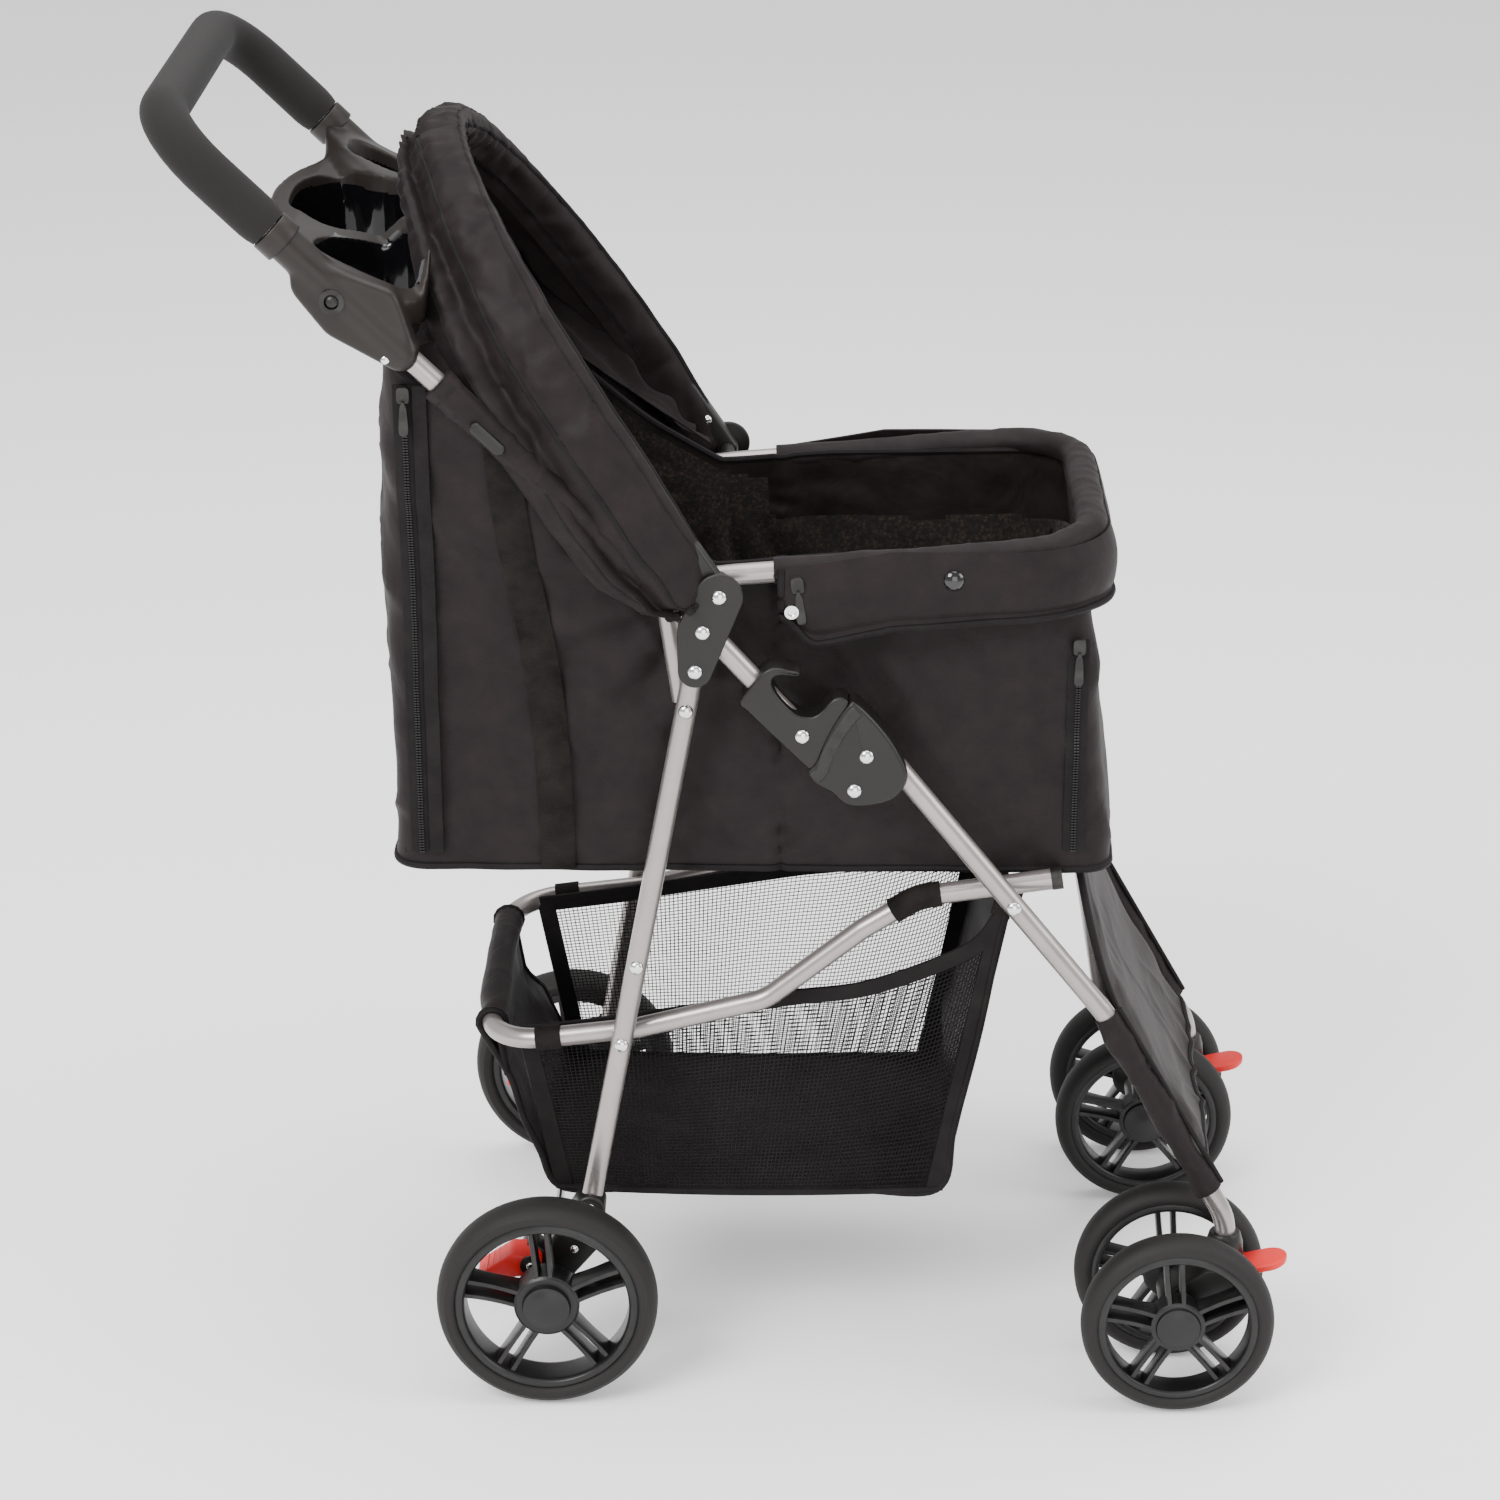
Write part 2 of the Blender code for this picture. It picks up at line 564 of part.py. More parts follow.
def tray():
    """The moulded tray across the handle: two cup wells, a middle well and two tube clamps."""
    middle = along_handle(TRAY_START + TRAY_LENGTH * 0.62)
    top = middle.y + 0.012
    rear, front = middle.x - 0.052, middle.x + 0.075
    side = FRONT_PLANE - 0.004
    outline = rounded_rectangle((REAR_AXLE_X + rear, -side), (REAR_AXLE_X + front, side), 0.030)
    body = slab("cup_tray", outline, top - TRAY_DEPTH, top)
    for label, sign in SIDES:
        low, high = along_handle(TRAY_START), along_handle(TRAY_START + TRAY_LENGTH)
        y = sign * FRONT_PLANE
        clamp = as_mesh(tube("clamp", [place(*low, y), place(*high, y)], TUBE_RADIUS + 0.005, None, 4))
        body = combine(body, clamp, "UNION")
        ends = [place(*along_handle(TRAY_START - 0.02), y), place(*along_handle(TRAY_START + TRAY_LENGTH + 0.02), y)]
        body = combine(body, as_mesh(tube("bore", ends, TUBE_RADIUS + FIT_GAP, None, 4)), "DIFFERENCE")
    wall, inner = 0.004, FRONT_PLANE - TUBE_RADIUS - 0.010
    divide = inner * 0.38
    front_edge, rear_edge = REAR_AXLE_X + front - wall, REAR_AXLE_X + rear + wall
    wells = ((divide + wall / 2, inner), (-divide + wall / 2, divide - wall / 2), (-inner, -divide - wall / 2))
    for low, high in wells:
        outline = rounded_rectangle((rear_edge, low), (front_edge, high), 0.024)
        body = combine(body, slab("well", outline, top - TRAY_DEPTH + wall, top + 0.02), "DIFFERENCE")
    dressed(body, PLASTIC)


# Front frame -----------------------------------------------------------------------------------


def front_leg_points():
    stem_corner = Vector((STEM_X, SOCKET_BOTTOM + SOCKET_HEIGHT + 0.011))
    return [FRONT_TOP, FRONT_BEND, stem_corner, Vector((STEM_X, SOCKET_BOTTOM + 0.004))]


def front_legs():
    """Both front legs and the cross tube welded between them."""
    points = front_leg_points()
    cross_low, cross_high = place(*FRONT_BEND, -FRONT_PLANE), place(*FRONT_BEND, FRONT_PLANE)
    legs = as_mesh(tube("front_legs", [cross_low, cross_high], TUBE_RADIUS * 0.75, SILVER))
    for label, sign in SIDES:
        y = sign * FRONT_PLANE
        path = rounded_path([place(*p, y) for p in points], 0.035, 4)
        leg = as_mesh(tube("leg", path, TUBE_RADIUS, SILVER))
        legs = combine(legs, drilled(leg, RAIL_FRONT_PIVOT, RIVET_RADIUS + FIT_GAP, sign), "UNION")
        inner = RAIL_PLANE + TUBE_RADIUS + 0.0015
        outer = FRONT_PLANE + TUBE_RADIUS + FIT_GAP
        pivot_pin(f"rail_front_pin_{label}", RAIL_FRONT_PIVOT, inner, outer, sign)
    dressed(legs, SILVER)


def knee_housings():
    """The joint block on the top of each front leg, whose two cheeks hold the handle tube's end."""
    on_leg = KNEE + FRONT_NORMAL * KNEE_OFFSET
    circles = [(KNEE, 0.015), (on_leg - FRONT_DIRECTION * 0.004, 0.014), (on_leg + FRONT_DIRECTION * 0.030, 0.0125)]
    outline = shifted(hull(circles))
    low_edge = on_leg - FRONT_NORMAL * (TUBE_RADIUS + 0.003)
    slot = [low_edge - FRONT_DIRECTION * 0.1, low_edge + FRONT_DIRECTION * 0.1]
    slot += [p - FRONT_NORMAL * 0.1 for p in reversed(slot)]
    half = TUBE_RADIUS + 0.0008
    for label, sign in SIDES:
        name = f"knee_housing_{label}"
        limits = on_side(FRONT_PLANE - HINGE_HALF_WIDTH, FRONT_PLANE + HINGE_HALF_WIDTH, sign)
        block = prism(name, outline, *limits)
        cheeks = prism("slot", shifted(slot), *on_side(FRONT_PLANE - half, FRONT_PLANE + half, sign))
        block = combine(block, cheeks, "DIFFERENCE")
        y = sign * FRONT_PLANE
        bore_top = FRONT_TOP - FRONT_DIRECTION * FIT_GAP
        bore = [place(*bore_top, y), place(*(FRONT_TOP + FRONT_DIRECTION * 0.1), y)]
        block = combine(block, as_mesh(tube("bore", bore, TUBE_RADIUS + FIT_GAP, None, 4)), "DIFFERENCE")
        block = drilled(block, KNEE, RIVET_RADIUS + FIT_GAP, sign)
        dressed(block, PLASTIC)
        inner = FRONT_PLANE - HINGE_HALF_WIDTH
        outer = FRONT_PLANE + HINGE_HALF_WIDTH + FIT_GAP
        pivot_pin(f"knee_pin_{label}", KNEE, inner, outer, sign)


def latches():
    """The sliding lock on each handle tube, with a finger hook to pull it up."""
    up = polar(1.0, KNEE_ANGLE + math.pi)
    out = Vector((up.y, -up.x))
    for label, sign in SIDES:
        low, high = KNEE + up * 0.0215, KNEE + up * 0.082
        circles = [(low + up * 0.012, 0.012), (high - up * 0.012, 0.012), (low + up * 0.016 + out * 0.014, 0.013)]
        circles.append((high - up * 0.010 + out * 0.015, 0.009))
        name = f"fold_latch_{label}"
        limits = on_side(FRONT_PLANE - HINGE_HALF_WIDTH, FRONT_PLANE + HINGE_HALF_WIDTH, sign)
        slider = prism(name, shifted(hull(circles)), *limits)
        notch = hull([((low + high) / 2 + up * 0.003 + out * 0.021, 0.0085), ((low + high) / 2 + out * 0.05, 0.010)])
        slider = combine(slider, prism("notch", shifted(notch), *on_side(0.0, 0.3, sign)), "DIFFERENCE")
        y = sign * FRONT_PLANE
        bore = [place(*(low - up * 0.05), y), place(*(high + up * 0.05), y)]
        slider = combine(slider, as_mesh(tube("bore", bore, TUBE_RADIUS + FIT_GAP, None, 4)), "DIFFERENCE")
        dressed(slider, PLASTIC)


def casters():
    """The fixed sockets on the front legs, and the swivelling forks with their axles and locks."""
    axle = Vector((WHEELBASE, FRONT_WHEEL_RADIUS))
    for label, sign in SIDES:
        y = sign * FRONT_PLANE
        middle = place(STEM_X, SOCKET_BOTTOM + SOCKET_HEIGHT / 2, y)
        socket = cylinder(f"caster_socket_{label}", middle, 0.0145, SOCKET_HEIGHT, "Z", 20)
        bore = [place(STEM_X, SOCKET_BOTTOM + 0.0036, y), place(STEM_X, SOCKET_BOTTOM + 0.08, y)]
        socket = combine(socket, as_mesh(tube("bore", bore, TUBE_RADIUS + FIT_GAP, None, 4)), "DIFFERENCE")
        dressed(socket, PLASTIC)
        name = f"caster_fork_{label}"
        top = SOCKET_BOTTOM - FIT_GAP
        arm = hull([(Vector((STEM_X, top - 0.016)), 0.0125), (axle, 0.012), (Vector((STEM_X - 0.012, top - 0.014)), 0.010)])
        fork = prism(name, shifted(arm), y - FORK_HALF_WIDTH * 0.72, y + FORK_HALF_WIDTH * 0.72)
        collar = cylinder("collar", place(STEM_X, top - 0.012, y), 0.0145, 0.024, "Z", 20)
        fork = combine(fork, collar, "UNION")
        sleeve = cylinder("sleeve", place(*axle, y), 0.009, 2 * FORK_HALF_WIDTH, "Y", 16)
        fork = combine(fork, sleeve, "UNION")
        hole = cylinder("hole", place(*axle, y), AXLE_RADIUS + FIT_GAP, 0.2, "Y", 12)
        dressed(combine(fork, hole, "DIFFERENCE"), PLASTIC)
        length = 2 * (CASTER_HALF_TRACK + FRONT_WHEEL_WIDTH * 0.38)
        dressed(cylinder(f"caster_axle_{label}", place(*axle, y), AXLE_RADIUS, length, "Y", 12), STEEL)
        lock = hull([(Vector((STEM_X + 0.018, top - 0.008)), 0.006), (Vector((STEM_X + 0.045, top - 0.003)), 0.0045)])
        lever = prism(f"swivel_lock_{label}", shifted(lock), y - 0.015, y + 0.015)
        socket_space = cylinder("space", place(STEM_X, top, y), 0.0175, 0.1, "Z", 20)
        dressed(combine(lever, socket_space, "DIFFERENCE"), RED)


# Lower rail and basket ---------------------------------------------------------------------------


def basket_rail():
    """The lower rail: one tube from one front pivot round the back of the basket to the other."""
    rear, front = RAIL_REAR_PIVOT, RAIL_FRONT_PIVOT
    span = front - rear
    half = [
        front + Vector((0.036, 0.006)),
        front - Vector((0.070, 0.010)),
        rear + Vector((span.x * 0.62, span.y * 0.70)),
        rear + Vector((span.x * 0.37, span.y * 0.22)),
        rear + Vector((0.010, 0.002)),
        Vector((RAIL_REAR, rear.y - 0.012)),
    ]
    half = [place(*p, RAIL_PLANE) for p in half]
    mirrored = [Vector((p.x, -p.y, p.z)) for p in reversed(half)]
    path = rounded_path(half + mirrored, RAIL_CORNER_RADIUS, 4)
    rail = as_mesh(tube("basket_rail", path, TUBE_RADIUS, SILVER))
    for label, sign in SIDES:
        rail = drilled(rail, RAIL_REAR_PIVOT, RIVET_RADIUS + FIT_GAP, sign)
        inner, outer = RAIL_PLANE - TUBE_RADIUS, REAR_PLANE + TUBE_RADIUS + FIT_GAP
        pivot_pin(f"rail_rear_pin_{label}", RAIL_REAR_PIVOT, inner, outer, sign)
    dressed(rail, SILVER)


def open_shell(name, outline, half_width, wall, lift, look):
    """A fabric box with one outline from the side, hollowed from above."""
    outer = prism(name, shifted(outline), -half_width, half_width)
    centre = sum((Vector(p) for p in outline), Vector((0.0, 0.0))) / len(outline)
    inner = []
    for point in outline:
        x = point[0] + math.copysign(wall, centre.x - point[0])
        z = point[1] + (wall if point[1] < centre.y and point not in outline[2:] else lift)
        inner.append((x, z))
    hollow = prism("hollow", shifted(inner), wall - half_width, half_width - wall)
    return dressed(combine(outer, hollow, "DIFFERENCE"), look)


def basket():
    """The shopping basket, which hangs from the lower rail."""
    top_rear = (RAIL_REAR + 0.028, RAIL_REAR_PIVOT.y - 0.012)
    top_front = (RAIL_FRONT_PIVOT.x - 0.010, RAIL_FRONT_PIVOT.y - 0.018)
    middle = ((top_rear[0] + top_front[0]) / 2, top_rear[1] + 0.030)
    outline = [(BASKET_FLOOR_REAR, BASKET_FLOOR_HEIGHT), (BASKET_FLOOR_FRONT, BASKET_FLOOR_HEIGHT),
               top_front, middle, top_rear]
    open_shell("basket", outline, BASKET_HALF_WIDTH, BASKET_WALL, 0.05, FABRIC)


# Cabin, flap, panel and canopy --------------------------------------------------------------------


def cabin():
    """The fabric cabin with its board and mat, open above from the rear wall to the front rim."""
    rim_front = (RIM_FRONT - TUBE_RADIUS - 0.0030, TOP_RIVET.y + RIM_RISE - TUBE_RADIUS - 0.004)
    rim_rear = (TOP_RIVET.x + 0.012, TOP_RIVET.y - TUBE_RADIUS - 0.006)
    outline = [(CABIN_REAR, CABIN_FLOOR_HEIGHT), (CABIN_FRONT, CABIN_FLOOR_HEIGHT + 0.004), rim_front, rim_rear,
               (CABIN_REAR + 0.020, CABIN_REAR_HEIGHT - 0.010), (CABIN_REAR + 0.004, CABIN_REAR_HEIGHT)]
    open_shell("cabin_shell", outline, CABIN_HALF_WIDTH, CABIN_WALL, 0.10, FABRIC)
    inset = CABIN_WALL + 0.003
    half = CABIN_HALF_WIDTH - inset
    board_low = CABIN_FLOOR_HEIGHT + CABIN_WALL + 0.005
    rear, front = REAR_AXLE_X + CABIN_REAR + inset, REAR_AXLE_X + CABIN_FRONT - inset - 0.004
    outline = rounded_rectangle((rear, -half), (front, half), 0.015, 3)
    board = slab("floor_board", outline, board_low, board_low + BOARD_THICKNESS)
    dressed(board, PLASTIC)
    mat_low = board_low + BOARD_THICKNESS + FIT_GAP
    dressed(slab("fleece_mat", outline, mat_low, mat_low + MAT_THICKNESS), FLEECE)


def apron_flap():
    """The flap that hangs over the front rim and is pressed down with snaps."""
    top = TOP_RIVET.y + RIM_RISE - TUBE_RADIUS - 0.003
    clear = RAIL_PLANE + TUBE_RADIUS + 0.001 + FLAP_THICKNESS
    front = REAR_AXLE_X + CABIN_FRONT + 0.004
    rear = REAR_AXLE_X + TOP_RIVET.x + 0.055
    outer = rounded_rectangle((rear - 0.1, -clear), (front + FLAP_THICKNESS, clear), 0.05)
    gap = FLAP_THICKNESS
    inner = rounded_rectangle((rear - 0.2, gap - clear), (front, clear - gap), 0.047)
    flap = slab("apron_flap", outer, top - FLAP_DROP, top)
    flap = combine(flap, slab("inner", inner, 0.3, 1.0), "DIFFERENCE")
    flap = combine(flap, box("behind", (-1.0, -1.0, 0.3), (rear, 1.0, 1.0)), "DIFFERENCE")
    dressed(flap, FABRIC)


def front_panel():
    """The fabric panel between the front legs, under the cabin's front edge."""
    low = FRONT_BEND + (Vector(front_leg_points()[2]) - FRONT_BEND) * 0.80
    top = Vector((CABIN_FRONT - 0.030, CABIN_FLOOR_HEIGHT - 0.006))
    before_tube = FRONT_NORMAL * (TUBE_RADIUS + 0.001)
    top, low = top + before_tube * 0.3, low + before_tube
    centre = [top, FRONT_BEND + before_tube * 1.2, low]
    thickness = Vector((PANEL_THICKNESS, PANEL_THICKNESS * 0.5))
    outline = [p + thickness for p in centre] + list(reversed(centre))
    half = FRONT_PLANE - TUBE_RADIUS - LAYER_GAP
    dressed(prism("front_panel", shifted(outline), -half, half), FABRIC)


def along_hoop(distance, forward=0.0):
    """A side-view place on the canopy hoop, at a distance up from its pivot."""
    normal = Vector((HOOP_DIRECTION.y, -HOOP_DIRECTION.x))
    return TOP_RIVET + HOOP_DIRECTION * distance + normal * forward


def hoop_arch(start, reach, half_width):
    """The hoop's line as (distance, y): straight at both feet, then half an ellipse."""
    arch = [(start, half_width)]
    for step in range(33):
        turn = math.pi * step / 32
        arch.append((HOOP_ARCH_START + (reach - HOOP_ARCH_START) * math.sin(turn), half_width * math.cos(turn)))
    return arch + [(start, -half_width)]


def arched_shell(name, start, reach, half_width, wall, low, high):
    """A wall that follows the hoop's arch, from low to high forward of the hoop."""
    shape = bmesh.new()
    outer, inner = hoop_arch(start, reach, half_width), hoop_arch(start, reach - wall, half_width - wall)
    rings = []
    for (d, y), (e, u) in zip(outer, inner):
        places = [(*along_hoop(d, low), y), (*along_hoop(d, high), y), (*along_hoop(e, high), u), (*along_hoop(e, low), u)]
        rings.append([shape.verts.new(place(*p)) for p in places])
    for first, second in zip(rings, rings[1:]):
        for i in range(4):
            j = (i + 1) % 4
            shape.faces.new((first[i], first[j], second[j], second[i]))
    shape.faces.new(rings[0])
    shape.faces.new(rings[-1])
    bmesh.ops.recalc_face_normals(shape, faces=shape.faces)
    mesh = bpy.data.meshes.new(name)
    shape.to_mesh(mesh)
    shape.free()
    return add_object(name, mesh, FABRIC)


def canopy():
    """The hoop that carries the canopy's front edge, its two arms, and the folded cover behind it."""
    path = [place(*along_hoop(d), y) for d, y in hoop_arch(0.052, HOOP_LENGTH, FRONT_PLANE)]
    hoop = tube("canopy_hoop", path, HOOP_RADIUS, SILVER)
    for label, sign in SIDES:
        limits = on_side(FRONT_PLANE - 0.006, FRONT_PLANE + 0.006, sign)
        outline = shifted(hull([(TOP_RIVET, 0.0105), (along_hoop(0.030), 0.0085), (along_hoop(0.064), 0.0085)]))
        arm = prism(f"hoop_arm_{label}", outline, *limits)
        arm = drilled(arm, TOP_RIVET, 0.0055 + FIT_GAP, sign)
        y = sign * FRONT_PLANE
        start = along_hoop(0.0515)
        bore = [place(*start, y), place(*along_hoop(0.10), y)]
        arm = combine(arm, as_mesh(tube("bore", bore, HOOP_RADIUS + FIT_GAP, None, 4)), "DIFFERENCE")
        dressed(arm, PLASTIC)
    back = HOOP_RADIUS + 0.002
    half = FRONT_PLANE - TUBE_RADIUS - LAYER_GAP
    reach = HOOP_LENGTH + HOOP_RADIUS
    cover = arched_shell("canopy_cover", 0.070, reach, half, CANOPY_WALL, -back - CANOPY_FOLD_THICKNESS, -back)
    dressed(cover, FABRIC)
    return hoop


def main():
    clear_scene()
    rear_legs()
    top_rail()
    hub_plates()
    rear_brackets()
    rear_wheels()
    handle_tubes()
    push_handle()
    tray()
    front_legs()
    knee_housings()
    latches()
    casters()
    front_wheels()
    basket_rail()
    basket()
    cabin()
    apron_flap()
    front_panel()
    canopy()


main()
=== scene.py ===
import math

import bmesh
import bpy
from mathutils import Matrix, Vector, noise


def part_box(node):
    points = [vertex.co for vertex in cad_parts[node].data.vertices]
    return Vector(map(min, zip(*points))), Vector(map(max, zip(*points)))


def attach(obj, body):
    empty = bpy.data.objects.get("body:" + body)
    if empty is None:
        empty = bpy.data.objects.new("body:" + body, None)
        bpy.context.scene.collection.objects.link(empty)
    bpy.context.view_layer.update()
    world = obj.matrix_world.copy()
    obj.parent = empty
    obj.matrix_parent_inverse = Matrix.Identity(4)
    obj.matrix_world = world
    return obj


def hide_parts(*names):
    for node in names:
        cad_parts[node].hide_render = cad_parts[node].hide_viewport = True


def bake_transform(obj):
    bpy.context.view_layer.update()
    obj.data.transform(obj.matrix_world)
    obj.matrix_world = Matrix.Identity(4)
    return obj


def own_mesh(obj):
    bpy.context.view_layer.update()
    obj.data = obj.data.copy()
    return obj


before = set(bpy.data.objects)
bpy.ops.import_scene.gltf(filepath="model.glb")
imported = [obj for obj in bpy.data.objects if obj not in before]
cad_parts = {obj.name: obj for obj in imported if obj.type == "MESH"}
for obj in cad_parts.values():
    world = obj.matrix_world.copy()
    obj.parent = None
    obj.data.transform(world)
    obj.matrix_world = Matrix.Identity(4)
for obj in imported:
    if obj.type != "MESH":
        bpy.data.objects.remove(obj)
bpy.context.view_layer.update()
print("frame loaded")


def boxCentre(node):
    low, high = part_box(node)
    return (low + high) / 2


# places taken from the frame, as (x, z) in the side view
axle = boxCentre("rear_axle")
sides = (("right", -1), ("left", 1))
tubeRadius = 0.008
framePlane = boxCentre("handle_tube_left").y      # handle tubes and front legs
legPlane = boxCentre("rear_leg_left").y
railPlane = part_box("basket_rail")[1].y - tubeRadius


def side(x, z):
    return Vector((x, z))


def nodeSide(node):
    centre = boxCentre(node)
    return side(centre.x, centre.z)


hub = nodeSide("hub_pin_right")
knee = nodeSide("knee_pin_right")
railRear = nodeSide("rail_rear_pin_right")
railFront = nodeSide("rail_front_pin_right")
topRivet = hub + side(0.012, 0.027)
wheelAxle = nodeSide("caster_axle_right")
stemX = boxCentre("caster_socket_right").x


def polar(length, degrees):
    return side(length * math.cos(math.radians(degrees)), length * math.sin(math.radians(degrees)))


def at(point, y):
    return Vector((point.x, y, point.y))


def mixed(a, b, t):
    return a + (b - a) * t


def smoothStep(low, high, value):
    t = min(1.0, max(0.0, (value - low) / (high - low)))
    return t * t * (3 - 2 * t)


# ---- materials ----

def newGroup(name, inputs, outputs):
    group = bpy.data.node_groups.new(name, "ShaderNodeTree")
    for label, default in inputs:
        socket = group.interface.new_socket(name=label, in_out="INPUT", socket_type="NodeSocketFloat")
        socket.default_value = default
    for label, kind in outputs:
        group.interface.new_socket(name=label, in_out="OUTPUT", socket_type=kind)
    return group, group.nodes.new("NodeGroupInput"), group.nodes.new("NodeGroupOutput")


class NodeDesk:
    """Short calls for adding and linking nodes."""

    def __init__(self, tree):
        self.tree = tree

    def add(self, kind, **inputs):
        node = self.tree.nodes.new(kind)
        for key, value in inputs.items():
            self.feed(node, key, value)
        return node

    def feed(self, node, key, value):
        socket = node.inputs[int(key[1:])] if key[0] == "i" and key[1:].isdigit() else node.inputs[key]
        if isinstance(value, bpy.types.NodeSocket):
            self.tree.links.new(value, socket)
        else:
            socket.default_value = value

    def maths(self, operation, *values):
        node = self.tree.nodes.new("ShaderNodeMath")
        node.operation = operation
        for index, value in enumerate(values):
            self.feed(node, f"i{index}", value)
        return node.outputs[0]

    def ramp(self, value, low, high):
        node = self.add("ShaderNodeMapRange", Value=value)
        node.inputs["From Min"].default_value = low
        node.inputs["From Max"].default_value = high
        return node.outputs[0]


def buildWeaveGroup():
    """Threads over and under each other, on whichever faces the surface turns to."""
    group, entry, exit_ = newGroup("clothWeave", [("Threads", 900.0)],
                                   [("Height", "NodeSocketFloat"), ("Tone", "NodeSocketFloat")])
    desk = NodeDesk(group)
    place = desk.add("ShaderNodeTexCoord").outputs["Object"]
    split = desk.add("ShaderNodeSeparateXYZ", Vector=place)
    count = entry.outputs["Threads"]
    waves = []
    for axis in ("X", "Y", "Z"):
        turned = desk.maths("MULTIPLY", split.outputs[axis], count)
        waves.append(desk.maths("SINE", desk.maths("MULTIPLY", turned, math.tau)))
    across = desk.maths("MULTIPLY", desk.maths("ADD", waves[0], waves[1]), waves[2])
    exit_in = exit_.inputs
    group.links.new(desk.maths("MULTIPLY_ADD", across, 0.25, 0.5), exit_in["Height"])
    grain = desk.add("ShaderNodeTexNoise", Vector=place, Scale=38.0, Detail=5.0, Roughness=0.62)
    group.links.new(grain.outputs["Fac"], exit_in["Tone"])
    return group


def buildGrainGroup():
    """Fine moulded or painted grain, with a broad smudge mask for the roughness."""
    group, entry, exit_ = newGroup("surfaceGrain", [("Fineness", 1500.0), ("Smudge", 14.0)],
                                   [("Height", "NodeSocketFloat"), ("Mask", "NodeSocketFloat")])
    desk = NodeDesk(group)
    place = desk.add("ShaderNodeTexCoord").outputs["Object"]
    fine = desk.add("ShaderNodeTexNoise", Vector=place, Scale=entry.outputs["Fineness"], Detail=2.0)
    broad = desk.add("ShaderNodeTexNoise", Vector=place, Scale=entry.outputs["Smudge"], Detail=4.0, Roughness=0.6)
    group.links.new(fine.outputs["Fac"], exit_.inputs["Height"])
    group.links.new(broad.outputs["Fac"], exit_.inputs["Mask"])
    return group


def buildWearGroup():
    """Marks the convex edges of a piece, where handling rubs it paler."""
    group, entry, exit_ = newGroup("edgeWear", [("Strength", 1.0)], [("Wear", "NodeSocketFloat")])
    desk = NodeDesk(group)
    geometry = desk.add("ShaderNodeNewGeometry")
    edge = desk.ramp(geometry.outputs["Pointiness"], 0.52, 0.60)
    place = desk.add("ShaderNodeTexCoord").outputs["Object"]
    broken = desk.add("ShaderNodeTexNoise", Vector=place, Scale=90.0, Detail=4.0)
    rubbed = desk.maths("MULTIPLY", edge, desk.ramp(broken.outputs["Fac"], 0.40, 0.62))
    group.links.new(desk.maths("MULTIPLY", rubbed, entry.outputs["Strength"]), exit_.inputs["Wear"])
    return group


weaveGroup, grainGroup, wearGroup = buildWeaveGroup(), buildGrainGroup(), buildWearGroup()


def shaderFor(name, roughness, **fixed):
    made = bpy.data.materials.new(name)
    made.use_nodes = True
    shader = made.node_tree.nodes["Principled BSDF"]
    shader.inputs["Roughness"].default_value = roughness
    for label, value in fixed.items():
        shader.inputs[label.replace("_", " ")].default_value = value
    return made, shader, NodeDesk(made.node_tree)


def colourBetween(desk, factor, low, high):
    node = desk.tree.nodes.new("ShaderNodeMix")
    node.data_type = "RGBA"
    desk.feed(node, "i0", factor)
    node.inputs[6].default_value = (*low, 1.0)
    node.inputs[7].default_value = (*high, 1.0)
    return node.outputs[2]


def clothMaterial(name, dark, pale, threads, relief, roughness=0.56, sheen=0.022, creases=0.0):
    made, shader, desk = shaderFor(name, roughness, Sheen_Weight=sheen, Sheen_Roughness=0.45,
                                   Specular_IOR_Level=0.11)
    shader.inputs["Sheen Tint"].default_value = (0.70, 0.56, 0.56, 1.0)
    weave = desk.tree.nodes.new("ShaderNodeGroup")
    weave.node_tree = weaveGroup
    weave.inputs["Threads"].default_value = threads
    tone = desk.ramp(weave.outputs["Tone"], 0.32, 0.72)
    desk.feed(shader, "Base Color", colourBetween(desk, tone, dark, pale))
    height = weave.outputs["Height"]
    bump = desk.add("ShaderNodeBump", Height=height, Strength=relief, Distance=0.0004)
    if creases:
        place = desk.add("ShaderNodeTexCoord").outputs["Object"]
        fold = desk.add("ShaderNodeTexNoise", Vector=place, Scale=17.0, Detail=3.0, Distortion=1.1)
        bump = desk.add("ShaderNodeBump", Height=fold.outputs["Fac"], Strength=creases, Distance=0.006,
                        Normal=bump.outputs[0])
    desk.feed(shader, "Normal", bump.outputs[0])
    return made


def hardMaterial(name, colour, roughness, smudge=0.10, fineness=1500.0, relief=0.12, wear=0.0,
                 worn=(0.16, 0.15, 0.14), **fixed):
    made, shader, desk = shaderFor(name, roughness, **fixed)
    grain = desk.tree.nodes.new("ShaderNodeGroup")
    grain.node_tree = grainGroup
    grain.inputs["Fineness"].default_value = fineness
    mask = desk.ramp(grain.outputs["Mask"], 0.3, 0.7)
    desk.feed(shader, "Roughness", desk.maths("MULTIPLY_ADD", mask, smudge, roughness - smudge / 2))
    shade = colourBetween(desk, mask, [c * 0.88 for c in colour], [c * 1.10 for c in colour])
    if wear:
        rubbed = desk.tree.nodes.new("ShaderNodeGroup")
        rubbed.node_tree = wearGroup
        rubbed.inputs["Strength"].default_value = wear
        mix = desk.tree.nodes.new("ShaderNodeMix")
        mix.data_type = "RGBA"
        desk.feed(mix, "i0", rubbed.outputs[0])
        desk.tree.links.new(shade, mix.inputs[6])
        mix.inputs[7].default_value = (*worn, 1.0)
        shade = mix.outputs[2]
    desk.feed(shader, "Base Color", shade)
    bump = desk.add("ShaderNodeBump", Height=grain.outputs["Height"], Strength=relief, Distance=0.0003)
    desk.feed(shader, "Normal", bump.outputs[0])
    return made


